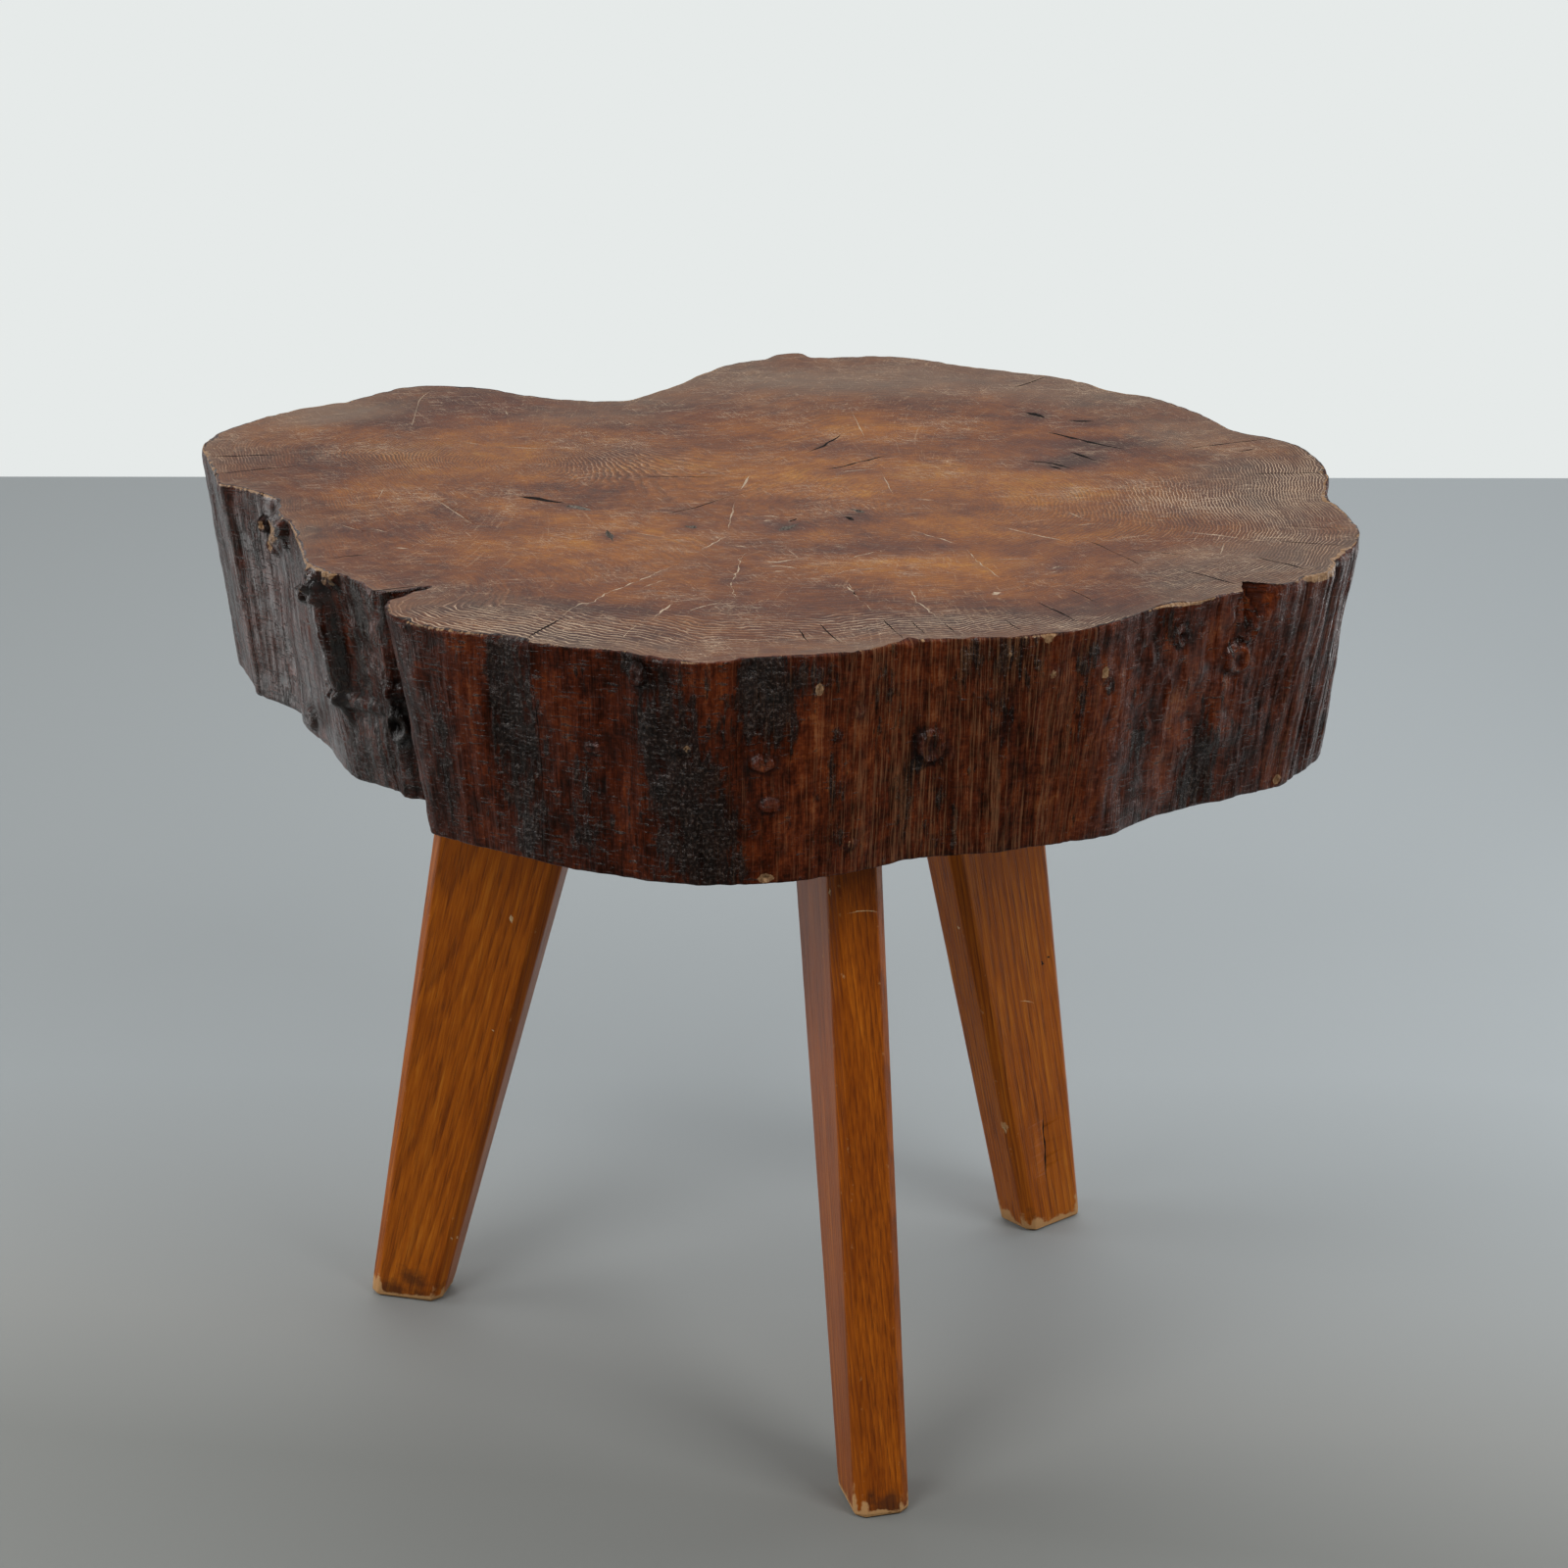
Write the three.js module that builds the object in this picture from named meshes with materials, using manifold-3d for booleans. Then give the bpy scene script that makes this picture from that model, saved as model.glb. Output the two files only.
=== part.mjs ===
import * as THREE from 'three';
import { mergeVertices } from 'three/addons/utils/BufferGeometryUtils.js';
import Module from 'manifold-3d';

// Tripod side table: a thick slice of a tree trunk with its natural edge, on three splayed,
// tapered legs. Each leg's tenon sits in a blind mortise in the underside of the slab and is
// spread by two wedges. Millimetres, +Z up, origin on the floor under the middle of the slab.

// Slab
const tableHeight = 520;
const slabWidth = 654;
const slabDepth = 513;
const slabThickness = 133;
const underside = tableHeight - slabThickness;

// Legs: each is a tapered board on edge, wide along the radius, thin across it
const legThickness = 32;
const legFootWidth = 44.5;
const legFootRadius = 220.8;
const legHeadWidth = 90;
const legHeadRadius = 138;
const legChamfer = 5.2;
const tripodCentreX = 0.8;
const tripodCentreY = -1.9;

// The legs are cut and set by hand. Each has its direction in degrees and then, as shares of
// the leg's thickness, head radius and head width: how far its board is off the radius, and
// where its middle is and how wide it is where it meets the slab.
const legPlaceShares = [
  { name: 'leg_left', azimuth: 165.1, aside: 0.294, headOut: 1.007, headWide: 1.011 },
  { name: 'leg_front', azimuth: -75.5, aside: 0.084, headOut: 0.935, headWide: 0.967 },
  { name: 'leg_right', azimuth: 40.7, aside: 0.122, headOut: 1.062, headWide: 1 },
];
const legPlaces = legPlaceShares.map(({ name, azimuth, aside, headOut, headWide }) => ({
  name,
  azimuth,
  sideways: aside * legThickness,
  headRadius: headOut * legHeadRadius,
  headWidth: headWide * legHeadWidth,
}));

// Joint between a leg and the slab
const tenonLength = 70;
const tenonWidth = 52;
const tenonThickness = 19;
const tenonSpread = 2.5;
const tenonRoot = 12;
const wedgeLength = 36;
const wedgeHeadThickness = 5;
const wedgeTipThickness = 1.5;
const wedgeSpacing = 24;

// Clearances and the overrun of the cuts
const shoulderGap = 0.3;
const mortiseClearance = 0.3;
const wedgeClearance = 0.3;
const cutOverrun = 6;

// Rim of the slab, seen from above, counter-clockwise from the right end. Each row holds the
// point's x as a share of the slab's width, its y as a share of its depth, and how far the
// underside is drawn in there as a share of the thickness.
const rimShares = [
  // right end and the far right
  [0.5, -0.112, 0.13],
  [0.497, -0.068, 0.12],
  [0.488, -0.02, 0.11],
  [0.481, 0.015, 0.1],
  [0.485, 0.082, 0.11],
  [0.48, 0.126, 0.12],
  [0.465, 0.175, 0.13],
  [0.445, 0.2, 0.13],
  [0.412, 0.225, 0.12],
  [0.383, 0.285, 0.12],
  [0.342, 0.342, 0.13],
  [0.31, 0.364, 0.12],
  [0.27, 0.407, 0.12],
  [0.212, 0.437, 0.11],
  [0.172, 0.456, 0.12],
  [0.14, 0.476, 0.12],
  [0.103, 0.489, 0.13],
  [0.062, 0.486, 0.12],
  [0.036, 0.485, 0.1],
  [0.027, 0.499, 0.12],
  [0.008, 0.496, 0.13],
  [-0.008, 0.476, 0.11],
  [-0.033, 0.464, 0.11],
  // waist of the far side
  [-0.066, 0.422, 0.1],
  [-0.078, 0.395, 0.09],
  [-0.098, 0.367, 0.08],
  [-0.125, 0.334, 0.07],
  [-0.15, 0.327, 0.07],
  [-0.185, 0.333, 0.08],
  [-0.225, 0.351, 0.09],
  [-0.262, 0.377, 0.11],
  // left lobe
  [-0.294, 0.385, 0.12],
  [-0.332, 0.374, 0.12],
  [-0.382, 0.326, 0.12],
  [-0.43, 0.291, 0.12],
  [-0.463, 0.256, 0.13],
  [-0.494, 0.204, 0.14],
  [-0.5, 0.168, 0.13],
  [-0.494, 0.133, 0.13],
  [-0.482, 0.068, 0.15],
  [-0.477, 0.044, 0.15],
  [-0.462, 0.035, 0.12],
  [-0.425, -0.006, 0.09],
  [-0.425, -0.033, 0.1],
  [-0.408, -0.089, 0.12],
  [-0.396, -0.16, 0.16],
  [-0.386, -0.211, 0.2],
  [-0.359, -0.241, 0.21],
  [-0.341, -0.267, 0.23],
  [-0.324, -0.293, 0.24],
  [-0.303, -0.288, 0.19],
  // tip of the cleft between the two lobes
  [-0.283, -0.276, 0.15],
  // front lobe
  [-0.301, -0.302, 0.13],
  [-0.313, -0.316, 0.15],
  [-0.317, -0.335, 0.18],
  [-0.309, -0.368, 0.19],
  [-0.284, -0.394, 0.19],
  [-0.256, -0.412, 0.17],
  [-0.216, -0.426, 0.12],
  [-0.195, -0.442, 0.12],
  [-0.162, -0.456, 0.09],
  [-0.121, -0.468, 0.06],
  [-0.1, -0.484, 0.08],
  [-0.058, -0.5, 0.1],
  [-0.037, -0.498, 0.1],
  [-0.016, -0.486, 0.06],
  [0.015, -0.48, 0.06],
  [0.06, -0.472, 0.1],
  [0.078, -0.464, 0.11],
  [0.106, -0.441, 0.1],
  [0.126, -0.434, 0.13],
  [0.198, -0.426, 0.17],
  [0.234, -0.415, 0.19],
  [0.267, -0.395, 0.18],
  [0.294, -0.368, 0.13],
  // right front
  [0.324, -0.332, 0.13],
  [0.352, -0.32, 0.19],
  [0.376, -0.3, 0.19],
  [0.427, -0.27, 0.21],
  [0.449, -0.243, 0.19],
  [0.465, -0.228, 0.19],
  [0.475, -0.198, 0.17],
  [0.489, -0.165, 0.16],
];
const rimSegments = 330;
const sideSteps = 4;
const directionReachShare = 0.015;

// Flutes of the natural edge: shallow ridges that run down the side, deepest at the right
const fluteDepth = 1.1;
const deepFluteDepth = 1.5;
const fluteCount = 88;
const deepFluteCount = 67;
const deepFluteShare = 0.955;
const deepFluteReachShare = 0.1;

// Chip broken out of the rim at the right front, seen from above: its steep left wall starts
// at the place given in shares of the slab, and its depth falls off towards its right end
const chipWidth = 24;
const chipDepth = 19;
const chipHeight = 22;
const chipPlaceShares = [0.3915, -0.291];
const chipEndShare = 0.6;

const wasm = await Module();
wasm.setup();

const slabWood = { color: '#4b2414', roughness: 0.35, metalness: 0 };
const legWood = { color: '#9a5219', roughness: 0.4, metalness: 0 };
const wedgeWood = { color: '#b88a56', roughness: 0.7, metalness: 0 };

// A closed body through stacked rings of equal point counts, each counter-clockwise from above
function loft(rings) {
  const count = rings[0].length;
  const positions = rings.flat().flatMap((point) => [point.x, point.y, point.z]);
  const faces = [];
  for (let level = 0; level + 1 < rings.length; level += 1) {
    const low = level * count;
    const high = low + count;
    for (let index = 0; index < count; index += 1) {
      const next = (index + 1) % count;
      faces.push(low + index, low + next, high + next);
      faces.push(low + index, high + next, high + index);
    }
  }
  const lowCap = THREE.ShapeUtils.triangulateShape(flatten(rings[0]), []);
  lowCap.forEach(([a, b, c]) => faces.push(c, b, a));
  const top = (rings.length - 1) * count;
  const highCap = THREE.ShapeUtils.triangulateShape(flatten(rings[rings.length - 1]), []);
  highCap.forEach(([a, b, c]) => faces.push(top + a, top + b, top + c));
  const geometry = new THREE.BufferGeometry();
  geometry.setAttribute('position', new THREE.Float32BufferAttribute(positions, 3));
  geometry.setIndex(faces);
  return geometry;
}

// A ring's points as seen from above
function flatten(ring) {
  return ring.map((point) => new THREE.Vector2(point.x, point.y));
}

// An outline drawn in the upright plane, as [along, up] pairs, given an even thickness across
function board(outline, thickness) {
  const shape = new THREE.Shape(outline.map(([along, up]) => new THREE.Vector2(along, up)));
  const geometry = new THREE.ExtrudeGeometry(shape, { depth: thickness, bevelEnabled: false });
  geometry.rotateX(Math.PI / 2);
  geometry.translate(0, thickness / 2, 0);
  return geometry;
}

function toSolid(geometry) {
  const bare = geometry.clone();
  bare.deleteAttribute('normal');
  bare.deleteAttribute('uv');
  const merged = mergeVertices(bare);
  const mesh = new wasm.Mesh({
    numProp: 3,
    vertProperties: merged.attributes.position.array,
    triVerts: Uint32Array.from(merged.index.array),
  });
  return new wasm.Manifold(mesh);
}

function toGeometry(solid) {
  const mesh = solid.getMesh();
  const geometry = new THREE.BufferGeometry();
  geometry.setAttribute('position', new THREE.BufferAttribute(mesh.vertProperties, 3));
  geometry.setIndex(new THREE.BufferAttribute(mesh.triVerts, 1));
  return geometry;
}

function namedMesh(name, geometry, finish) {
  geometry.computeVertexNormals();
  const mesh = new THREE.Mesh(geometry, new THREE.MeshStandardMaterial(finish));
  mesh.name = name;
  return mesh;
}

// The natural edge as seen from above, with each point's inward direction and its draw-in
function rimOutline() {
  const points = rimShares.map(([x, y, drawIn]) => (
    new THREE.Vector3(x * slabWidth, y * slabDepth, drawIn * slabThickness)
  ));
  const curve = new THREE.CatmullRomCurve3(points, true, 'centripetal');
  const samples = curve.getSpacedPoints(rimSegments).slice(0, rimSegments);
  const reach = Math.max(1, Math.round(directionReachShare * rimSegments));
  return samples.map((point, index) => {
    const before = samples[(index - reach + rimSegments) % rimSegments];
    const after = samples[(index + reach) % rimSegments];
    const inward = new THREE.Vector2(before.y - after.y, after.x - before.x).normalize();
    return { x: point.x, y: point.y, drawIn: point.z, inward, share: index / rimSegments };
  });
}

// How far the flutes are cut in at a share of the way round the rim
function fluteCut(share) {
  const fine = 0.5 - 0.5 * Math.cos(2 * Math.PI * fluteCount * share);
  const deep = Math.abs(Math.sin(Math.PI * deepFluteCount * share));
  const away = Math.abs(share - deepFluteShare);
  const near = Math.max(0, 1 - Math.min(away, 1 - away) / deepFluteReachShare);
  return fluteDepth * fine + deepFluteDepth * deep * near;
}

// Stretches a list of points so that they span exactly the slab's width and depth, centred
function fitToSpan(ring) {
  const box = new THREE.Box2().setFromPoints(flatten(ring));
  const centre = box.getCenter(new THREE.Vector2());
  const size = box.getSize(new THREE.Vector2());
  return (point) => new THREE.Vector3(
    (point.x - centre.x) * slabWidth / size.x,
    (point.y - centre.y) * slabDepth / size.y,
    point.z,
  );
}

function slabBlank() {
  const rim = rimOutline();
  const ringAt = (level) => {
    const down = 1 - level / sideSteps;
    return rim.map(({ x, y, drawIn, inward, share }) => {
      const inset = drawIn * down + fluteCut(share);
      const z = underside + slabThickness * level / sideSteps;
      return new THREE.Vector3(x + inward.x * inset, y + inward.y * inset, z);
    });
  };
  const fit = fitToSpan(ringAt(sideSteps));
  const rings = [];
  for (let level = 0; level <= sideSteps; level += 1) {
    rings.push(ringAt(level).map(fit));
  }
  return toSolid(loft(rings));
}

function chipCutter() {
  const corners = [
    new THREE.Vector2(0, chipDepth),
    new THREE.Vector2(0, -cutOverrun),
    new THREE.Vector2(chipWidth, -cutOverrun),
    new THREE.Vector2(chipWidth, chipDepth * chipEndShare),
  ];
  const geometry = new THREE.ExtrudeGeometry(new THREE.Shape(corners), {
    depth: chipHeight + cutOverrun,
    bevelEnabled: false,
  });
  const [xShare, yShare] = chipPlaceShares;
  geometry.translate(xShare * slabWidth, yShare * slabDepth, tableHeight - chipHeight);
  return toSolid(geometry);
}

// How far the leg's middle line moves along the radius for each unit of height
function leanOf(place) {
  return (place.headRadius - legFootRadius) / underside;
}

// A point beside the leg's middle line: height is over the underside, aside is along the radius
function besideLegLine(place, height, aside) {
  return [place.headRadius + leanOf(place) * height + aside, underside + height];
}

// Half the tenon's width at a height over the underside, with its spread towards the end
function tenonHalfWidth(height) {
  const flared = Math.max(0, height - (tenonLength - wedgeLength)) / wedgeLength;
  return tenonWidth / 2 + tenonSpread * flared;
}

// The tenon's outline in the leg's upright plane, from its root up, grown by a clearance
function tenonOutline(place, root, clearance) {
  const flareStart = tenonLength - wedgeLength;
  const end = tenonLength + clearance;
  const heights = [root, flareStart, end];
  const outer = heights.map((height) => (
    besideLegLine(place, height, tenonHalfWidth(height) + clearance)
  ));
  const inner = heights.map((height) => (
    besideLegLine(place, height, -tenonHalfWidth(height) - clearance)
  ));
  return [...outer, ...inner.reverse()];
}

// A wedge's outline in the leg's upright plane, driven in from the tenon's end
function wedgeOutline(place, side, clearance, overrun) {
  const middle = side * wedgeSpacing / 2;
  const tip = wedgeTipThickness / 2 + clearance;
  const head = wedgeHeadThickness / 2 + clearance;
  const tipHeight = tenonLength - wedgeLength - clearance;
  const headHeight = tenonLength + overrun;
  return [
    besideLegLine(place, tipHeight, middle + tip),
    besideLegLine(place, headHeight, middle + head),
    besideLegLine(place, headHeight, middle - head),
    besideLegLine(place, tipHeight, middle - tip),
  ];
}

const wedgeSides = [
  { name: 'outer_wedge', side: 1 },
  { name: 'inner_wedge', side: -1 },
];

// An eight-cornered section of the leg: a rectangle along the radius with chamfered edges
function legSection(radius, width, height) {
  const long = width / 2;
  const short = legThickness / 2;
  const corners = [
    [long, short - legChamfer],
    [long - legChamfer, short],
    [legChamfer - long, short],
    [-long, short - legChamfer],
    [-long, legChamfer - short],
    [legChamfer - long, -short],
    [long - legChamfer, -short],
    [long, legChamfer - short],
  ];
  return corners.map(([along, across]) => new THREE.Vector3(radius + along, across, height));
}

function legSolid(place) {
  const shoulder = underside - shoulderGap;
  const taper = (place.headWidth - legFootWidth) / underside;
  const shoulderRadius = place.headRadius - leanOf(place) * shoulderGap;
  const blade = toSolid(loft([
    legSection(legFootRadius, legFootWidth, 0),
    legSection(shoulderRadius, place.headWidth - taper * shoulderGap, shoulder),
  ]));
  let leg = blade.add(toSolid(board(tenonOutline(place, -tenonRoot, 0), tenonThickness)));
  wedgeSides.forEach(({ side }) => {
    const outline = wedgeOutline(place, side, wedgeClearance, cutOverrun);
    leg = leg.subtract(toSolid(board(outline, tenonThickness + cutOverrun)));
  });
  return leg;
}

function mortiseCutter(place) {
  const outline = tenonOutline(place, -cutOverrun, mortiseClearance);
  return board(outline, tenonThickness + 2 * mortiseClearance);
}

// Where a leg's own frame stands in the table: its x runs outwards along the radius
function legFrame({ azimuth, sideways }) {
  const frame = new THREE.Group();
  frame.position.set(tripodCentreX, tripodCentreY, 0);
  frame.rotation.z = THREE.MathUtils.degToRad(azimuth);
  frame.updateMatrix();
  const shift = new THREE.Matrix4().makeTranslation(0, sideways, 0);
  return { frame, matrix: frame.matrix.clone().multiply(shift) };
}

function slabMesh() {
  let slab = slabBlank().subtract(chipCutter());
  legPlaces.forEach((place) => {
    const cutter = mortiseCutter(place).applyMatrix4(legFrame(place).matrix);
    slab = slab.subtract(toSolid(cutter));
  });
  return namedMesh('slab_top', toGeometry(slab), slabWood);
}

function legAssembly(place) {
  const { frame } = legFrame(place);
  const leg = namedMesh(place.name, toGeometry(legSolid(place)), legWood);
  const wedges = wedgeSides.map(({ name, side }) => {
    const geometry = board(wedgeOutline(place, side, 0, 0), tenonThickness);
    return namedMesh(`${place.name}_${name}`, geometry, wedgeWood);
  });
  [leg, ...wedges].forEach((mesh) => {
    mesh.position.y = place.sideways;
    frame.add(mesh);
  });
  return frame;
}

const sideTable = new THREE.Group();
sideTable.name = 'side_table';
sideTable.add(slabMesh());
legPlaces.forEach((place) => sideTable.add(legAssembly(place)));

export default sideTable;
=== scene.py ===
"""Looks of a tripod side table: a thick live-edge trunk slice on three splayed, tapered legs.

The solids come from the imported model. This script gives the slab its weathered natural edge,
cracks, knots and scratches, softens and wears the legs, and dresses every piece. Lengths are
in millimetres until a mesh is written, which is in metres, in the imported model's frame.
"""

import logging
import math
from dataclasses import dataclass, field
from enum import IntEnum
from functools import partial
from typing import Any

import bmesh
import bpy
import numpy as np
from bmesh.types import BMEdge, BMesh, BMFace, BMVert
from bpy.types import ID, Material, Mesh, NodeSocket, NodeTree, Object, Scene
from mathutils import Matrix, Vector
from mathutils.bvhtree import BVHTree
from mathutils.kdtree import KDTree

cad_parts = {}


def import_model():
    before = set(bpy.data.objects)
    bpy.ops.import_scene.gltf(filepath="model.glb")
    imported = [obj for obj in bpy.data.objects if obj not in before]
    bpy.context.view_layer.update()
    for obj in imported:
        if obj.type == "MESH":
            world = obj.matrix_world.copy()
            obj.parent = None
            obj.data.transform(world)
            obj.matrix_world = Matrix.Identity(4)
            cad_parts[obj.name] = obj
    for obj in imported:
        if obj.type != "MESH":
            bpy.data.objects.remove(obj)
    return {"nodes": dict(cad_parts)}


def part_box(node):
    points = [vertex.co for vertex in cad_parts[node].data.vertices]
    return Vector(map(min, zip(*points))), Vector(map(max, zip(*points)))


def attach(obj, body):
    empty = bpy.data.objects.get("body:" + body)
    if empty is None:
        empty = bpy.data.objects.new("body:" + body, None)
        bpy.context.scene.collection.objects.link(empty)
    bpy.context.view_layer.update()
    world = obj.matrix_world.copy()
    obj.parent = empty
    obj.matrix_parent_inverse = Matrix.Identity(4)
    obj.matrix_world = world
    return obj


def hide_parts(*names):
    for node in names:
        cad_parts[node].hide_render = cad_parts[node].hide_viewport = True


MM = 0.001
LOG = logging.getLogger("side_table")
# The kinds of value that many functions share: the nodes by name, a line of pixels, and spots
# with their middle and their reach in millimetres
Nodes = dict[str, Object]
Pixels = tuple[tuple[float, float], ...]
Spots = tuple[tuple[tuple[float, ...], float], ...]
# The outward direction of a level surface, and a pixel that no picture has
UP = (0.0, 0.0, 1.0)
OUT_OF_SIGHT = 1e6
# In metres: how near two corners are one, and how near a corner lies on a cutting plane
WELD = 1e-6
ON_PLANE = 1e-7
# Metres from one noise layer of a material to the next, so that no two are alike, and how
# strong the fine grains are beside the broad ones
LAYER_SHIFT = (0.37, 0.53, 0.11)
NOISE_ROUGHNESS = 0.62


def linear(colour: str) -> tuple[float, float, float, float]:
    """Turns an sRGB hex colour into linear light.

    Args:
        colour: Six hex digits after a hash sign.

    Returns:
        Red, green, blue and a full alpha.
    """
    shares = [int(colour[i:i + 2], 16) / 255 for i in (1, 3, 5)]
    return (*(s / 12.92 if s <= 0.04045 else ((s + 0.055) / 1.055) ** 2.4 for s in shares), 1.0)


def add_node(
    tree: NodeTree,
    kind: str,
    inputs: dict[Any, Any] | None = None,
    stops: list[tuple[float, str]] | None = None,
    out: int | str = 0,
    **settings: Any,
) -> NodeSocket | None:
    """Adds a node with its settings, its input values or links, and a ramp's stops.

    Args:
        tree: The tree that gets the node.
        kind: The node's type name without its common prefix.
        inputs: Values or output sockets by input name or number.
        stops: Places and hex colours of a colour ramp.
        out: Name or number of the output to give back.
        **settings: Attributes of the node.

    Returns:
        That output, or nothing for a node without outputs.
    """
    node = tree.nodes.new("ShaderNode" + kind)
    for name, value in settings.items():
        setattr(node, name, value)
    for key, value in (inputs or {}).items():
        if isinstance(value, NodeSocket):
            tree.links.new(value, node.inputs[key])
        else:
            node.inputs[key].default_value = value
    if stops:
        ramp = node.color_ramp
        while len(ramp.elements) < len(stops):
            ramp.elements.new(1.0)
        for element, (place, colour) in zip(ramp.elements, stops):
            element.position = place
            element.color = linear(colour)
    return node.outputs[out] if len(node.outputs) else None


def scene_object(name: str, data: ID) -> Object:
    """Links anything that the scene can show into it, as an object at the origin.

    Args:
        name: The object's name.
        data: What it shows.

    Returns:
        The object.
    """
    thing = bpy.data.objects.new(name, data)
    bpy.context.scene.collection.objects.link(thing)
    return thing


def mesh_object(name: str, mesh: Mesh) -> Object:
    """Links a mesh into the scene as an object at the origin."""
    return scene_object(name, mesh)


def read(items: Any, attribute: str, kind: type = float, width: int = 1) -> np.ndarray:
    """Reads an attribute of a mesh's vertices, corners or faces.

    Args:
        items: The vertices, corners or faces.
        attribute: Its name.
        kind: Type of its numbers.
        width: How many numbers each item has.

    Returns:
        The numbers, one row for each item if it has more than one.
    """
    values = np.empty(len(items) * width, kind)
    items.foreach_get(attribute, values)
    return values.reshape(-1, width) if width > 1 else values


def write(mesh: Mesh, name: str, kind: str, values: np.ndarray) -> None:
    """Gives a mesh's vertices an attribute.

    Args:
        mesh: The mesh.
        name: The attribute's name.
        kind: Its Blender type.
        values: One row for each vertex.
    """
    key = {"FLOAT_COLOR": "color", "FLOAT": "value", "FLOAT_VECTOR": "vector"}[kind]
    layer = mesh.attributes.new(name, kind, "POINT")
    layer.data.foreach_set(key, np.ascontiguousarray(values, np.float32).ravel())


def extrude(mesh: BMesh, edges: list[BMEdge]
            ) -> tuple[set[BMVert], list[BMEdge]]:
    """Extrudes a ring of edges.

    Args:
        mesh: The mesh that holds them.
        edges: The ring's edges.

    Returns:
        The vertices and the edges of the new ring.
    """
    made = bmesh.ops.extrude_edge_only(mesh, edges=edges)["geom"]
    verts = {item for item in made if isinstance(item, BMVert)}
    return verts, [item for item in made if isinstance(item, BMEdge)
                   and all(vert in verts for vert in item.verts)]


def carve(name: str, body: BMesh, blades: BMesh,
          finishes: list[Material]) -> Object:
    """Cuts blades out of a body.

    Args:
        name: The name of the object.
        body: The body's mesh, which is freed.
        blades: The blades' mesh, which is freed.
        finishes: The materials in the order of the slots.

    Returns:
        The body's object.
    """
    things = []
    for label, made in ((name, body), ("blades", blades)):
        bmesh.ops.recalc_face_normals(made, faces=made.faces)
        mesh = bpy.data.meshes.new(label)
        made.to_mesh(mesh)
        made.free()
        for finish in finishes:
            mesh.materials.append(finish)
        things.append(mesh_object(label, mesh))
    thing, blade = things
    cut = thing.modifiers.new("cuts", "BOOLEAN")
    cut.object, cut.operation = blade, "DIFFERENCE"
    cut.solver, cut.material_mode = "MANIFOLD", "INDEX"
    ready = bpy.context.evaluated_depsgraph_get()
    carved = bpy.data.meshes.new_from_object(thing.evaluated_get(ready))
    thing.modifiers.clear()
    thing.data = carved
    bpy.data.objects.remove(blade)
    return thing


@dataclass(frozen=True)
class PhotoView:
    """The camera of the photograph.

    Its place is in millimetres, its tilt in degrees, its focal length and frame in pixels, its
    sensor in millimetres, and how near and how far it sees in metres.
    """

    x: float = 7.91
    y: float = -3373.3
    z: float = 1733.8
    pitch: float = 22.362
    roll: float = 0.059
    focal: float = 6500.0
    frame: float = 1600.0
    sensor: float = 36.0
    sees: tuple[float, float] = (0.05, 60.0)

    def axes(self) -> tuple[np.ndarray, np.ndarray, np.ndarray]:
        """The camera's right, up and forward directions."""
        pitch, roll = math.radians(self.pitch), math.radians(self.roll)
        forward = np.array([0.0, math.cos(pitch), -math.sin(pitch)])
        level_up = np.array([0.0, math.sin(pitch), math.cos(pitch)])
        side = np.array([1.0, 0.0, 0.0])
        right = math.cos(roll) * side + math.sin(roll) * level_up
        up = math.cos(roll) * level_up - math.sin(roll) * side
        return right, up, forward

    def place(self) -> np.ndarray:
        """The camera's place in millimetres."""
        return np.array([self.x, self.y, self.z])

    def project(self, points: np.ndarray) -> np.ndarray:
        """Finds the photograph's pixels of points.

        Args:
            points: An array of points in millimetres, the last axis x, y, z.

        Returns:
            The pixels, the last axis across, down.
        """
        right, up, forward = self.axes()
        away = points - self.place()
        depth = away @ forward
        across = self.frame / 2 + self.focal * (away @ right) / depth
        down = self.frame / 2 - self.focal * (away @ up) / depth
        return np.stack([across, down], -1)

    def ray(self, across: float, down: float) -> np.ndarray:
        """The unit direction in which a pixel looks."""
        right, up, forward = self.axes()
        half = self.frame / 2
        ray = forward + (across - half) / self.focal * right + (half - down) / self.focal * up
        return ray / np.linalg.norm(ray)

    def drop(self, across: float, down: float, height: float) -> np.ndarray:
        """The point in millimetres where a pixel meets the level at a height."""
        ray = self.ray(across, down)
        return self.place() + ray * (height - self.z) / ray[2]

    def build(self) -> None:
        """Makes the camera and gives it to the scene."""
        data = bpy.data.cameras.new("photo_camera")
        data.sensor_width = self.sensor
        data.lens = self.focal / self.frame * self.sensor
        data.clip_start, data.clip_end = self.sees
        camera = scene_object("photo_camera", data)
        right, up, forward = self.axes()
        turn = Matrix((right, up, -forward)).transposed().to_4x4()
        camera.matrix_world = Matrix.Translation(Vector(self.place() * MM)) @ turn
        bpy.context.scene.camera = camera


@dataclass(frozen=True)
class SoftBox:
    """A square lamp: its place and aim in metres, its side in metres and its power in watts."""

    name: str
    place: tuple[float, float, float]
    aim: tuple[float, float, float]
    side: float
    power: float

    def build(self) -> None:
        """Hangs the lamp."""
        data = bpy.data.lights.new(self.name, "AREA")
        data.shape = "SQUARE"
        data.size = self.side
        data.energy = self.power
        lamp = scene_object(self.name, data)
        lamp.location = self.place
        towards = Vector(self.aim) - Vector(self.place)
        lamp.rotation_euler = towards.to_track_quat("-Z", "Y").to_euler()


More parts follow.
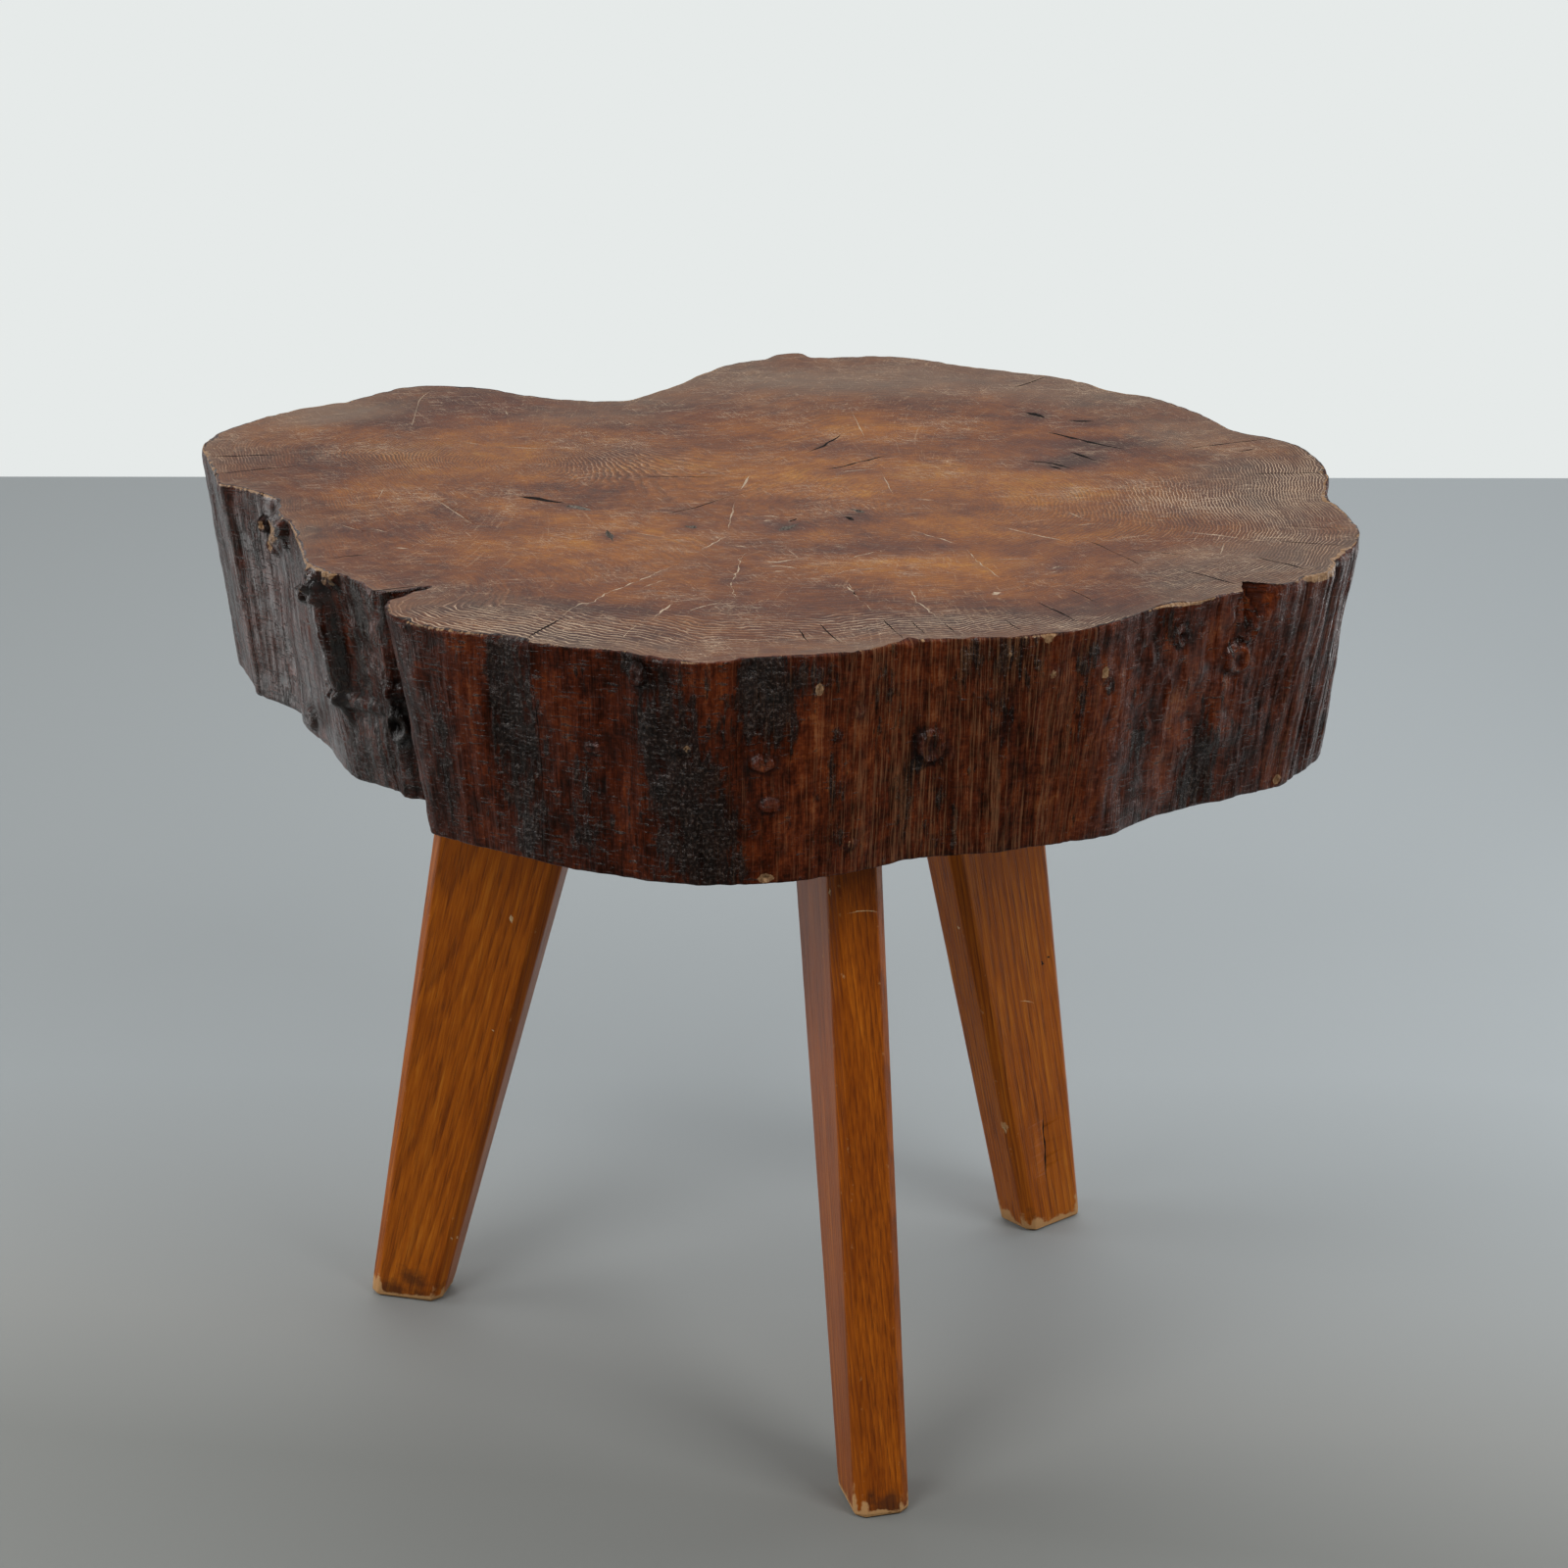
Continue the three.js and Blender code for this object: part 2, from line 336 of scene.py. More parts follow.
@dataclass(frozen=True)
class Studio:
    """A pale floor that ends at a pale wall's line, and soft light from all round.

    Towards the camera and the left the floor's colour darkens: painted shade.
    """

    floor_painted_falloff: tuple[tuple[float, str], ...] = (
        (0.2, "#747673"), (0.4, "#858785"), (0.8, "#949a9c"), (1.0, "#a0a7aa"))
    wall_colour: str = "#e6eae9"
    floor_back: float = 1494.0
    floor_side: float = 3000.0
    light_level: float = 0.36
    light_towards_back: float = 0.16
    light_from_above: float = 0.08
    soft_boxes: tuple[SoftBox, ...] = (
        SoftBox("left", (-1.6, -2.3, 2.8), (0.0, 0.0, 0.4), 1.5, 52.0),
        SoftBox("right", (2.1, -2.0, 2.7), (0.0, 0.0, 0.4), 1.5, 60.0),
        SoftBox("back", (0.2, 1.1, 3.0), (0.0, 0.0, 0.5), 2.6, 34.0),
        SoftBox("window", (-3.2, 0.1, 1.5), (0.0, 0.0, 0.5), 1.7, 24.0),
        SoftBox("low_left", (-1.0, 0.1, 0.33), (-0.3, -0.05, 0.45), 0.66, 2.0),
        SoftBox("low_right", (1.05, 0.42, 0.36), (0.3, -0.05, 0.45), 0.66, 2.4),
    )

    def build(self) -> None:
        """Makes the floor, the world and the lamps, and sets the view transform."""
        scene = bpy.context.scene
        scene.view_settings.view_transform = "Standard"
        self.floor()
        self.world(scene)
        for box in self.soft_boxes:
            box.build()

    def floor(self) -> None:
        """Makes the floor as one flat sheet."""
        sheet = bmesh.new()
        bmesh.ops.create_grid(sheet, x_segments=6, y_segments=4, size=1.0)
        size = Vector((self.floor_side * MM, self.floor_back * MM, 1.0))
        bmesh.ops.scale(sheet, vec=size, verts=sheet.verts)
        mesh = bpy.data.meshes.new("floor")
        sheet.to_mesh(mesh)
        sheet.free()
        # Painted concrete: flat and pale, with a dull sheen. Its colour darkens towards the camera
        # and the left, a painted shade where the light falls off.
        paint = bpy.data.materials.new("painted_floor")
        paint.use_nodes = True
        paint.node_tree.nodes.clear()
        add = partial(add_node, paint.node_tree)
        place = add("TexCoord", out="Object")
        across, depth = (add("SeparateXYZ", {0: place}, out=i) for i in (0, 1))
        share = add("MapRange", {0: depth, 1: -0.3, 2: 0.35, 3: 0.1, 4: 0.9})
        share = add("Math", {0: across, 1: 0.25, 2: share}, operation="MULTIPLY_ADD")
        colour = add("ValToRGB", {0: share}, stops=list(self.floor_painted_falloff))
        add("OutputMaterial", {"Surface": add("BsdfPrincipled", {
            "Base Color": colour, "Roughness": 0.65})})
        mesh.materials.append(paint)
        mesh_object("floor", mesh)

    def world(self, scene: Scene) -> None:
        """Makes a world that is paler behind the table and above it, white to the camera.

        Args:
            scene: The scene that gets the world.
        """
        world = bpy.data.worlds.new("studio")
        world.use_nodes = True
        world.node_tree.nodes.clear()
        add = partial(add_node, world.node_tree)
        place = add("TexCoord", out="Generated")
        back, above = (add("SeparateXYZ", {0: place}, out=i) for i in (1, 2))
        level = add("Math", {0: back, 1: self.light_towards_back, 2: self.light_level},
                    operation="MULTIPLY_ADD")
        level = add("Math", {0: above, 1: self.light_from_above, 2: level},
                    operation="MULTIPLY_ADD")
        light = add("Background", {"Color": linear("#ffffff"), "Strength": level})
        wall = add("Background", {"Color": linear(self.wall_colour), "Strength": 1.0})
        seen = add("LightPath", out="Is Camera Ray")
        add("OutputWorld", {"Surface": add("MixShader", {0: seen, 1: light, 2: wall})})
        scene.world = world


class Slot(IntEnum):
    """Material slots of the slab, in the order in which its mesh holds them."""

    EDGE = 0
    TOP = 1
    UNDERSIDE = 2
    CRACK = 3
    BARE = 4
    HOLLOW = 5


@dataclass(frozen=True)
class Graph:
    """A material's nodes, with the sums, layers and ends that the finishes share."""

    tree: NodeTree

    def add(self, kind: str, inputs: dict[Any, Any] | None = None, **settings: Any) -> Any:
        """Adds a node, as add_node does."""
        return add_node(self.tree, kind, inputs, **settings)

    def total(self, *terms: tuple[Any, float], start: float = 0.0, clamp: bool = False) -> Any:
        """A weighted sum of sockets.

        Args:
            *terms: Sockets with their weights.
            start: A number added to the sum.
            clamp: Whether the sum is held from 0 to 1.

        Returns:
            The sum's socket.
        """
        result: Any = start
        for index, (socket, weight) in enumerate(terms):
            last = clamp and index == len(terms) - 1
            result = self.add("Math", {0: socket, 1: weight, 2: result}, use_clamp=last,
                              operation="MULTIPLY_ADD")
        return result

    def layers(self, *rows: tuple[Any, tuple[float, float, float], float, float]) -> list[Any]:
        """Noise layers, each on its own stretched copy of a vector.

        Args:
            *rows: Vector, size of a grain on each axis in millimetres, detail, turn in degrees.

        Returns:
            One socket for each layer.
        """
        sockets = []
        for number, (vector, grain, detail, turn) in enumerate(rows):
            shift = tuple(metres * number for metres in LAYER_SHIFT)
            turned = self.add("Mapping", {"Vector": vector, "Location": shift,
                                          "Rotation": (0, 0, math.radians(turn))})
            scale = tuple(1 / (size * MM) for size in grain)
            scaled = self.add("Mapping", {"Vector": turned, "Scale": scale})
            sockets.append(self.add("TexNoise", {"Vector": scaled, "Scale": 1.0, "Detail": detail,
                                                 "Roughness": NOISE_ROUGHNESS}))
        return sockets

    def coats(self, colour: Any, *rows: tuple[Any, float, Any]) -> Any:
        """Colours laid over another one, each where its share says.

        Args:
            colour: The socket of the colour at the bottom.
            *rows: Socket of the share, its strength, and a hex colour or a colour's socket.

        Returns:
            The colour's socket.
        """
        for share, strength, over in rows:
            if strength != 1.0:
                share = self.add("Math", {0: share, 1: strength}, operation="MULTIPLY")
            over = linear(over) if isinstance(over, str) else over
            colour = self.add("Mix", {0: share, 6: colour, 7: over}, data_type="RGBA", out=2)
        return colour

    def near(self, place: Any, spots: Spots) -> Any:
        """How near a point is to the nearest of some spots, 1 at a middle, 0 from its reach on.

        Args:
            place: The socket of the point.
            spots: Middle and reach of each spot, in millimetres.

        Returns:
            The nearness' socket.
        """
        result: Any = 0.0
        for middle, reach in spots:
            away = self.add("VectorMath", {0: place, 1: tuple(c * MM for c in middle)},
                            operation="DISTANCE", out="Value")
            share = self.add("MapRange", {0: away, 1: 0.0, 2: reach * MM, 3: 1.0, 4: 0.0})
            result = self.add("Math", {0: share, 1: result}, operation="MAXIMUM")
        return result

    def close(self, bump: tuple[Any, float, float], sockets: dict[str, Any]) -> None:
        """Ends the material with its relief, its surface and its output.

        Args:
            bump: The relief's socket, its height in millimetres and its strength.
            sockets: Values or links of the surface's own sockets.
        """
        height, depth, strength = bump
        normal = self.add("Bump", {"Height": height, "Distance": depth * MM,
                                   "Strength": strength})
        sockets = {**sockets, "Normal": normal}
        if "Coat Weight" in sockets:
            sockets["Coat Normal"] = normal
        self.add("OutputMaterial", {"Surface": self.add("BsdfPrincipled", sockets)})


@dataclass(frozen=True)
class Finish:
    """What every finish has: its name and a material of its own."""

    name: str

    def start(self) -> tuple[Material, Graph]:
        """Makes the material.

        Returns:
            The material and its graph, which is empty.
        """
        material = bpy.data.materials.new(self.name)
        material.use_nodes = True
        material.node_tree.nodes.clear()
        return material, Graph(material.node_tree)


@dataclass(frozen=True)
class BarkedEdge(Finish):
    """Natural edge of a zelkova trunk, bark peeled off and lacquered in dark red-brown.

    The lacquer pools over the flutes, so it shines where they are smooth, and scraps of black
    inner bark stay under it. Streaks run down the trunk, a few millimetres wide, and short
    dark dashes lie across it. Where the lacquer has worn thin the fibres show dry and pale.
    The grooves between the flutes, the creases and pits of knots and the hollows of the crust
    are darkened with painted shade, and on a few knots the pale is a painted highlight.
    """

    name: str = "zelkova_edge_lacquered"

    def build(self) -> Material:
        """Builds the material."""
        material, graph = self.start()
        add, total = graph.add, graph.total
        uv = add("UVMap", uv_map="edge")
        tone = {"attribute_name": "tone"}
        channels = add("Attribute", **tone)
        # Red: warm streaks; green: black stains, and painted shade off the skin; blue: wear of the
        # rim and bared wood, and on a few knots a painted highlight. The alpha is painted shade in
        # the grooves, creases and pits.
        glow, stain, wear_and_glint = (add("SeparateColor", {0: channels}, out=i) for i in range(3))
        groove = add("Attribute", out="Alpha", **tone)
        state = add("Attribute", out="Vector", attribute_name="state")
        gloss, dry = (add("SeparateXYZ", {0: state}, out=i) for i in range(2))
        streak, patch, fibre, ragged, dash, crust, blot, line, broad = graph.layers(
            (uv, (3.4, 55.0, 1.0), 5.0, 0.0), (uv, (24.0, 60.0, 1.0), 3.0, 0.0),
            (uv, (0.8, 18.0, 1.0), 3.0, 0.0), (uv, (5.0, 17.0, 1.0), 7.0, 0.0),
            (uv, (9.0, 1.7, 1.0), 3.0, 0.0), (uv, (1.9, 2.7, 1.0), 4.0, 0.0),
            (uv, (9.0, 12.0, 1.0), 5.0, 0.0), (uv, (1.5, 120.0, 1.0), 2.0, 0.0),
            (uv, (50.0, 40.0, 1.0), 2.0, 0.0))
        # The lacquer has run down in streaks, so it shines in upright bands
        runs = total((streak, 3.4), (patch, 2.4), start=-2.3, clamp=True)
        wet = add("Math", {0: gloss, 1: runs}, operation="MULTIPLY")
        tint = total((streak, 0.95), (patch, 0.6), (fibre, 0.8), (blot, 1.4), (dash, 0.5),
                     (crust, 0.6), (glow, 0.17), (broad, 0.6), (groove, -0.2), (dry, 0.1),
                     (wet, -0.22), start=-2.33, clamp=True)
        wood = add("ValToRGB", {0: tint}, stops=[
            (0.0, "#120501"), (0.25, "#2b0d02"), (0.5, "#451906"), (0.75, "#5f290e"),
            (1.0, "#794423")])
        # Inner bark: black, in ragged upright scraps, and in short dashes across the fibres
        scraps = total((ragged, 9.6), (stain, 3.84), (streak, 7.04), (blot, 4.48), (fibre, 2.56),
                       start=-13.6, clamp=True)
        dashes = total((dash, 15.0), (blot, 7.0), (stain, 1.6), (dry, -1.6), start=-12.3,
                       clamp=True)
        scraps, dashes = (add("Math", {0: part, 1: most}, operation="MULTIPLY")
                          for part, most in ((scraps, 0.9), (dashes, 0.8)))
        black = add("Math", {0: scraps, 1: dashes}, operation="MAXIMUM")
        bark = add("ValToRGB", {0: crust}, stops=[
            (0.36, "#070402"), (0.53, "#140d09"), (0.68, "#3a2c21")])
        # Dry fibres: thin upright lines, tan on brown
        lines = total((line, 4.2), (fibre, 3.6), (dry, 0.9), (groove, -0.8), start=-4.6,
                      clamp=True)
        lines = add("Math", {0: lines, 1: add("Math", {0: dry, 1: 0.68}, operation="MULTIPLY")},
                    operation="MULTIPLY", use_clamp=True)
        pale = total((ragged, 7.68), (wear_and_glint, 5.76), (crust, 3.84), start=-8.96, clamp=True)
        bare = add("ValToRGB", {0: crust}, stops=[(0.3, "#5c3d26"), (0.75, "#a98865")])
        # Over the wood: black bark, dry fibre lines, a near-black painted shade in the grooves,
        # and pale bared wood, which on a few knots is a painted highlight
        colour = graph.coats(wood, (black, 1.0, bark), (lines, 1.0, "#7a553a"),
                             (groove, 0.85, "#070302"), (pale, 1.0, bare))
        rough = total((dry, 0.15), (fibre, 0.08), (pale, 0.3), start=0.32, clamp=True)
        flakes = add("Math", {0: black, 1: crust}, operation="MULTIPLY")
        relief = total((fibre, 0.5), (streak, 1.0), (line, 0.7), (lines, 0.25), (blot, 0.8),
                       (dash, 0.4), (flakes, 3.0))
        # The lacquer is level where it lies thick
        level = total((gloss, -0.6), start=1.0, clamp=True)
        relief = add("Math", {0: relief, 1: level}, operation="MULTIPLY")
        # Flakes of crust and drops of lacquer that catch the light
        glints = total((dash, 9.0), (crust, 9.0), start=-9.5, clamp=True)
        glints = add("Math", {0: glints, 1: total((gloss, 0.9), (black, 0.9))},
                     operation="MULTIPLY")
        coat = total((wet, 1.5), (black, 0.1), (glints, 1.9), clamp=True)
        graph.close((relief, 1.0, 0.75), {
            "Base Color": colour, "Roughness": rough, "IOR": 1.5, "Specular IOR Level": 0.06,
            "Coat Weight": coat, "Coat Roughness": 0.14, "Coat IOR": 1.5})
        return material


@dataclass(frozen=True)
class EndGrain(Finish):
    """End grain of a zelkova trunk, sawn, stained and waxed, worn by years of use.

    Rings a few millimetres wide circle the two hearts and follow the rim. The wood is orange
    brown with darker, redder clouds along the rings, greyer where dust sits in the wax, grey
    and pale along the back with a painted sheen, and scuffs and the ridges of the late wood
    near the rim are rubbed pale.
    """

    name: str = "zelkova_end_grain_waxed"
    rings: float = 54.0
    relief: float = 0.35
    dull: float = 0.4

    def build(self) -> Material:
        """Builds the material."""
        material, graph = self.start()
        add, total = graph.add, graph.total
        place = add("TexCoord", out="Object")
        channels = add("Attribute", attribute_name="tone")
        # Red: warmth near the hearts; green: grime; blue: dust and rim wear, and along the back a
        # painted sheen
        heart, grime, dust_and_sheen = (add("SeparateColor", {0: channels}, out=i) for i in range(3))
        ringed_here = add("Attribute", attribute_name="tone", out="Alpha")
        growth = add("Attribute", attribute_name="growth", out="Fac")
        rays = add("Attribute", attribute_name="rays", out="Vector")
        # One ring counts as 1 mm of a third axis beside the two that follow the rays
        warp, waver = graph.layers((place, (34.0, 34.0, 34.0), 2.0, 0.0),
                                   (place, (9.0, 9.0, 9.0), 1.0, 0.0))
        ring = total((growth, self.rings), (warp, 2.6))
        ray_x, ray_y, crowd = (add("SeparateXYZ", {0: rays}, out=i) for i in range(3))
        along = add("CombineXYZ", {0: ray_x, 1: ray_y, 2: add(
            "Math", {0: ring, 1: MM}, operation="MULTIPLY")})
        crowded = add("Math", {0: growth, 1: crowd}, operation="MULTIPLY")
        phase = add("Math", {0: total((crowded, self.rings / MM), (warp, 2.6),
                                      (waver, 1.4))}, operation="FRACT")
        late = add("ValToRGB", {0: phase}, stops=[
            (0.0, "#ffffff"), (0.35, "#c8c8c8"), (0.78, "#000000"), (1.0, "#ffffff")])
        (bands, band_parts, streaks, ray_lines, clouds, blots, dust, pores, speck,
         patina) = graph.layers(
            (along, (95.0, 95.0, 6.0), 3.0, 0.0), (along, (34.0, 34.0, 2.4), 4.0, 0.0),
            (along, (10.0, 10.0, 0.5), 4.0, 0.0), (along, (1.5, 1.5, 14.0), 2.0, 0.0),
            (place, (120.0, 62.0, 50.0), 4.0, 8.0), (place, (38.0, 22.0, 20.0), 5.0, -10.0),
            (place, (85.0, 60.0, 60.0), 3.0, 0.0), (place, (1.2, 1.8, 1.2), 2.0, 0.0),
            (place, (2.0, 1.8, 1.8), 2.0, 0.0), (place, (11.0, 9.0, 9.0), 5.0, 20.0))
        warmth = total((heart, 0.28), (bands, 0.45), (band_parts, 0.6), (clouds, 0.7),
                       (blots, 0.85), (streaks, 0.6), (patina, 0.5), (pores, 0.25), (grime, -0.32),
                       start=-1.69, clamp=True)
        wood = add("ValToRGB", {0: warmth}, stops=[
            (0.0, "#38190c"), (0.22, "#53290f"), (0.42, "#6a3912"), (0.62, "#7f4914"),
            (0.8, "#915a18"), (1.0, "#a67026")])
        # Redder, purplish clouds beside the yellow ones
        red = total((dust, -2.4), (band_parts, 1.8), (grime, 0.4), start=0.42, clamp=True)
        # Grey: dust in the wax, and along the back a painted sheen
        grey_dust_and_sheen = total((dust, 1.2), (dust_and_sheen, 0.75), (patina, 0.7), (heart, -1.0), start=-0.74,
                     clamp=True)
        # Soot and old wax in the hollows round knots and cracks
        sooty = total((grime, 1.5), (patina, 1.2), (blots, 0.6), start=-2.3, clamp=True)
        lined = total((band_parts, 1.5), (ringed_here, 0.75), start=-0.56, clamp=True)
        lined = add("Math", {0: lined, 1: total((late, -0.9), start=0.85)},
                    operation="MULTIPLY", use_clamp=True)
        flecks = total((ray_lines, 5.0), (pores, 2.0), (dust, 1.0), start=-4.55, clamp=True)
        # Scuffs: short pale scratches that lie in drifts, nearly all one way
        drift, *scuffs = graph.layers(
            (place, (45.0, 30.0, 30.0), 3.0, 0.0), (place, (17.0, 0.8, 900.0), 2.0, 5.0),
            (place, (22.0, 0.8, 900.0), 2.0, -16.0), (place, (15.0, 0.7, 900.0), 2.0, 64.0),
            (place, (12.0, 0.8, 900.0), 2.0, 28.0))
        scuff: Any = 0.0
        for layer in scuffs:
            cut = total((layer, 26.0), (drift, 9.0), start=-21.6, clamp=True)
            scuff = add("Math", {0: cut, 1: scuff}, operation="MAXIMUM")
        specks = total((speck, 20.0), (drift, 8.0), (pores, 3.0), start=-19.0, clamp=True)
        ridge = total((streaks, 4.0), (ringed_here, 1.2), start=-2.4, clamp=True)
        # Near the rim, where the rings lie wide, their crests are rubbed pale, but where dust and
        # painted sheen lie thick they stay dull
        rubbed = total((dust_and_sheen, 2.4), (crowd, -2.0 / MM), start=3.3, clamp=True)
        clean = total((dust_and_sheen, -1.6), start=1.75, clamp=True)
        crest = total((late, 3.6), start=-2.6, clamp=True)
        for share in (crest, ringed_here, rubbed, clean):
            ridge = add("Math", {0: ridge, 1: share}, operation="MULTIPLY", use_clamp=True)
        whiten = total((scuff, 0.42), (specks, 0.35), (ridge, 2.2), clamp=True)
        wood = graph.coats(wood, (red, 0.5, "#5c2e18"), (grey_dust_and_sheen, 0.66, "#766455"),
                           (sooty, 0.75, "#331a0e"), (lined, 1.0, "#2a170d"),
                           (flecks, 0.4, "#a5886a"), (whiten, 1.0, "#b39c84"))
        rough = total((patina, 0.22), (whiten, 0.2), (grey_dust_and_sheen, 0.1), (heart, -0.05),
                      start=self.dull - 0.1, clamp=True)
        ringed = add("Math", {0: late, 1: ringed_here}, operation="MULTIPLY")
        height = total((ringed, 1.0), (late, 0.3), (pores, 0.6), (scuff, -0.5), (speck, 0.4),
                       (ray_lines, 0.4))
        graph.close((height, self.relief, 0.5), {
            "Base Color": wood, "Roughness": rough, "IOR": 1.5, "Specular IOR Level": 0.21})
        return material


# Near black, as crack_shadow, this finish is the painted shade on the walls of cracks
@dataclass(frozen=True)
class BareWood(Finish):
    """Wood that shows where the finish is cut or the saw left it: dry, with no shine."""

    dark: str
    light: str
    grain: float = 1.6
    dull: float = 0.8

    def build(self) -> Material:
        """Builds the material."""
        material, graph = self.start()
        add = graph.add
        fleck, = graph.layers((add("TexCoord", out="Object"), (self.grain,) * 3, 3.0, 0.0))
        colour = add("ValToRGB", {0: fleck}, stops=[(0.3, self.dark), (0.7, self.light)])
        graph.close((fleck, 0.3, 0.4), {"Base Color": colour, "Roughness": self.dull})
        return material


@dataclass(frozen=True)
class LegWood(Finish):
    """Flat-sawn elm, stained orange brown under a satin lacquer.

    Ring lines run down the faces and arch where the board's face cuts them. Fine dark pores
    follow the grain. The lacquer is rubbed pale on the arrises, and the foot is scuffed.
    """

    name: str = "elm_stained_lacquered"
    shade: float = 0.0
    stains: Spots = ()
    rubs: Spots = ()
    ring: float = 2.7
    scuffed_height: float = 22.0

    def build(self) -> Material:
        """Builds the material."""
        material, graph = self.start()
        add, total = graph.add, graph.total
        grain = add("Attribute", attribute_name="grain", out="Vector")
        place = add("TexCoord", out="Object")
        wear = add("Attribute", attribute_name="wear", out="Fac")
        sway_x, sway_y, fibre, pores, broad, lean, blotch, dirt, soft = graph.layers(
            (grain, (70.0, 70.0, 330.0), 1.0, 0.0), (grain, (60.0, 60.0, 280.0), 1.0, 0.0),
            (grain, (0.9, 0.9, 60.0), 3.0, 0.0), (grain, (0.9, 0.9, 55.0), 3.0, 0.0),
            (grain, (16.0, 16.0, 120.0), 2.0, 0.0), (grain, (5.0, 5.0, 90.0), 3.0, 0.0),
            (place, (3.8, 3.8, 3.8), 4.0, 0.0), (place, (11.0, 11.0, 11.0), 3.0, 0.0),
            (place, (14.0, 14.0, 20.0), 4.0, 0.0))
        bend = add("CombineXYZ", {0: sway_x, 1: sway_y, 2: 0.0})
        bent = add("VectorMath", {0: bend, 1: (0.006,) * 3, 2: grain}, operation="MULTIPLY_ADD")
        flat = add("VectorMath", {0: bent, 1: (1.0, 1.0, 0.0)}, operation="MULTIPLY")
        radius = add("VectorMath", {0: flat}, operation="LENGTH", out="Value")
        count = total((radius, 1 / (self.ring * MM)), (lean, 0.7))
        late = add("ValToRGB", {0: add("Math", {0: count}, operation="FRACT")}, stops=[
            (0.0, "#ffffff"), (0.5, "#c4c4c4"), (0.86, "#101010"), (1.0, "#ffffff")])
        tint = total((fibre, 1.3), (broad, 0.8), (lean, 0.7), (late, 0.1), (soft, 0.4),
                     start=self.shade - 1.17, clamp=True)
        wood = add("ValToRGB", {0: tint}, stops=[
            (0.0, "#743503"), (0.35, "#8e4706"), (0.62, "#a2560b"), (1.0, "#b8701f")])
        strength = total((broad, 0.9), (soft, 0.4), start=-0.38, clamp=True)
        line = add("Math", {0: total((late, -1.0), start=1.0), 1: strength},
                   operation="MULTIPLY", use_clamp=True)
        pitted = total((pores, 6.0), (late, -0.7), (lean, -1.6), start=-2.0, clamp=True)
        low = add("SeparateXYZ", {0: place}, out=2)
        foot = total((low, -1 / (self.scuffed_height * MM)), start=1.0, clamp=True)
        stained, rubbed = (graph.near(place, spots) for spots in (self.stains, self.rubs))
        grubby = total((dirt, 3.6), (foot, 1.6), (stained, 1.7), start=-3.1, clamp=True)
        rub = total((wear, 1.5), (foot, 2.6), (blotch, 5.0), (rubbed, 3.4), (stained, -1.5),
                    start=-4.6, clamp=True)
        wood = graph.coats(wood, (line, 1.0, "#5e2a05"), (pitted, 0.55, "#4a2004"),
                           (grubby, 0.72, "#331c0d"), (rub, 0.85, "#b28a5c"))
        rough = total((fibre, 0.14), (rub, 0.3), (grubby, 0.2), start=0.24, clamp=True)
        height = total((pitted, -1.0), (fibre, 0.5), (soft, 0.5))
        graph.close((height, 0.3, 0.4), {
            "Base Color": wood, "Roughness": rough, "IOR": 1.5, "Specular IOR Level": 0.16})
        return material


@dataclass(frozen=True)
class Groove:
    """A crack or a scratch drawn on the photograph: its slot, size and pixels along it.

    Blunt is the share of its width that it keeps at its ends, even the least share that it
    keeps between them, step the way between its stations in millimetres, and crooked how far
    its line wanders.
    """

    slot: Slot
    width: float
    depth: float
    pixels: Pixels
    blunt: float = 0.15
    even: float = 0.45
    step: float = 6.0
    crooked: float = 0.35

    def cut(self, cutters: BMesh, path: list[np.ndarray], outs: list[np.ndarray],
            seed: int, overrun: float = 0.6) -> None:
        """Adds a closed wedge along a path to the cutters.

        Args:
            cutters: The mesh that gathers the wedges.
            path: Points on the surface, in millimetres.
            outs: The surface's outward direction at each point.
            seed: Seed of the small wander of its line.
            overrun: How far the wedge stands out of the surface.
        """
        points, normals = np.array(path), np.array(outs)
        lengths = np.r_[0.0, np.cumsum(np.linalg.norm(np.diff(points, axis=0), axis=1))]
        count = max(4, int(lengths[-1] / self.step) + 2)
        along = np.linspace(0.0, lengths[-1], count)
        points = np.column_stack([np.interp(along, lengths, points[:, i]) for i in range(3)])
        normals = np.column_stack([np.interp(along, lengths, normals[:, i]) for i in range(3)])
        normals /= np.linalg.norm(normals, axis=1)[:, None]
        ahead = np.gradient(points, axis=0)
        ahead /= np.linalg.norm(ahead, axis=1)[:, None]
        aside = np.cross(normals, ahead)
        rng = np.random.default_rng(seed)
        wander = rng.uniform(-self.crooked, self.crooked, count) * min(self.width, 1.6)
        points = points + aside * wander[:, None]
        share = np.linspace(0.0, 1.0, count)
        swell = self.blunt + (1 - self.blunt) * np.sin(np.pi * share) ** 0.6
        swell *= rng.uniform(self.even, 1.2, count)
        ring = bmesh.ops.create_circle(cutters, cap_ends=False, segments=3, radius=1.0)["verts"]
        edges = first = list({edge for vert in ring for edge in vert.link_edges})
        corner = cutters.verts.layers.int.get("corner") or cutters.verts.layers.int.new("corner")
        ring = [vert for vert in cutters.verts if not vert.link_faces]
        for number, vert in enumerate(ring):
            vert[corner] = number
        placed = set(ring)
        for station in range(count):
            if station:
                ring, edges = extrude(cutters, edges)
                placed.update(ring)
            half = self.width / 2 * swell[station] * (1 + overrun / max(self.depth, 0.2))
            for vert in ring:
                if vert[corner] == 2:
                    spot = points[station] - normals[station] * self.depth * swell[station]
                else:
                    side = half if vert[corner] else -half
                    spot = points[station] + normals[station] * overrun + aside[station] * side
                vert.co = spot * MM
        for loop in (first, edges):
            bmesh.ops.edgeloop_fill(cutters, edges=loop)
        for face in {face for vert in placed for face in vert.link_faces}:
            face.material_index = self.slot


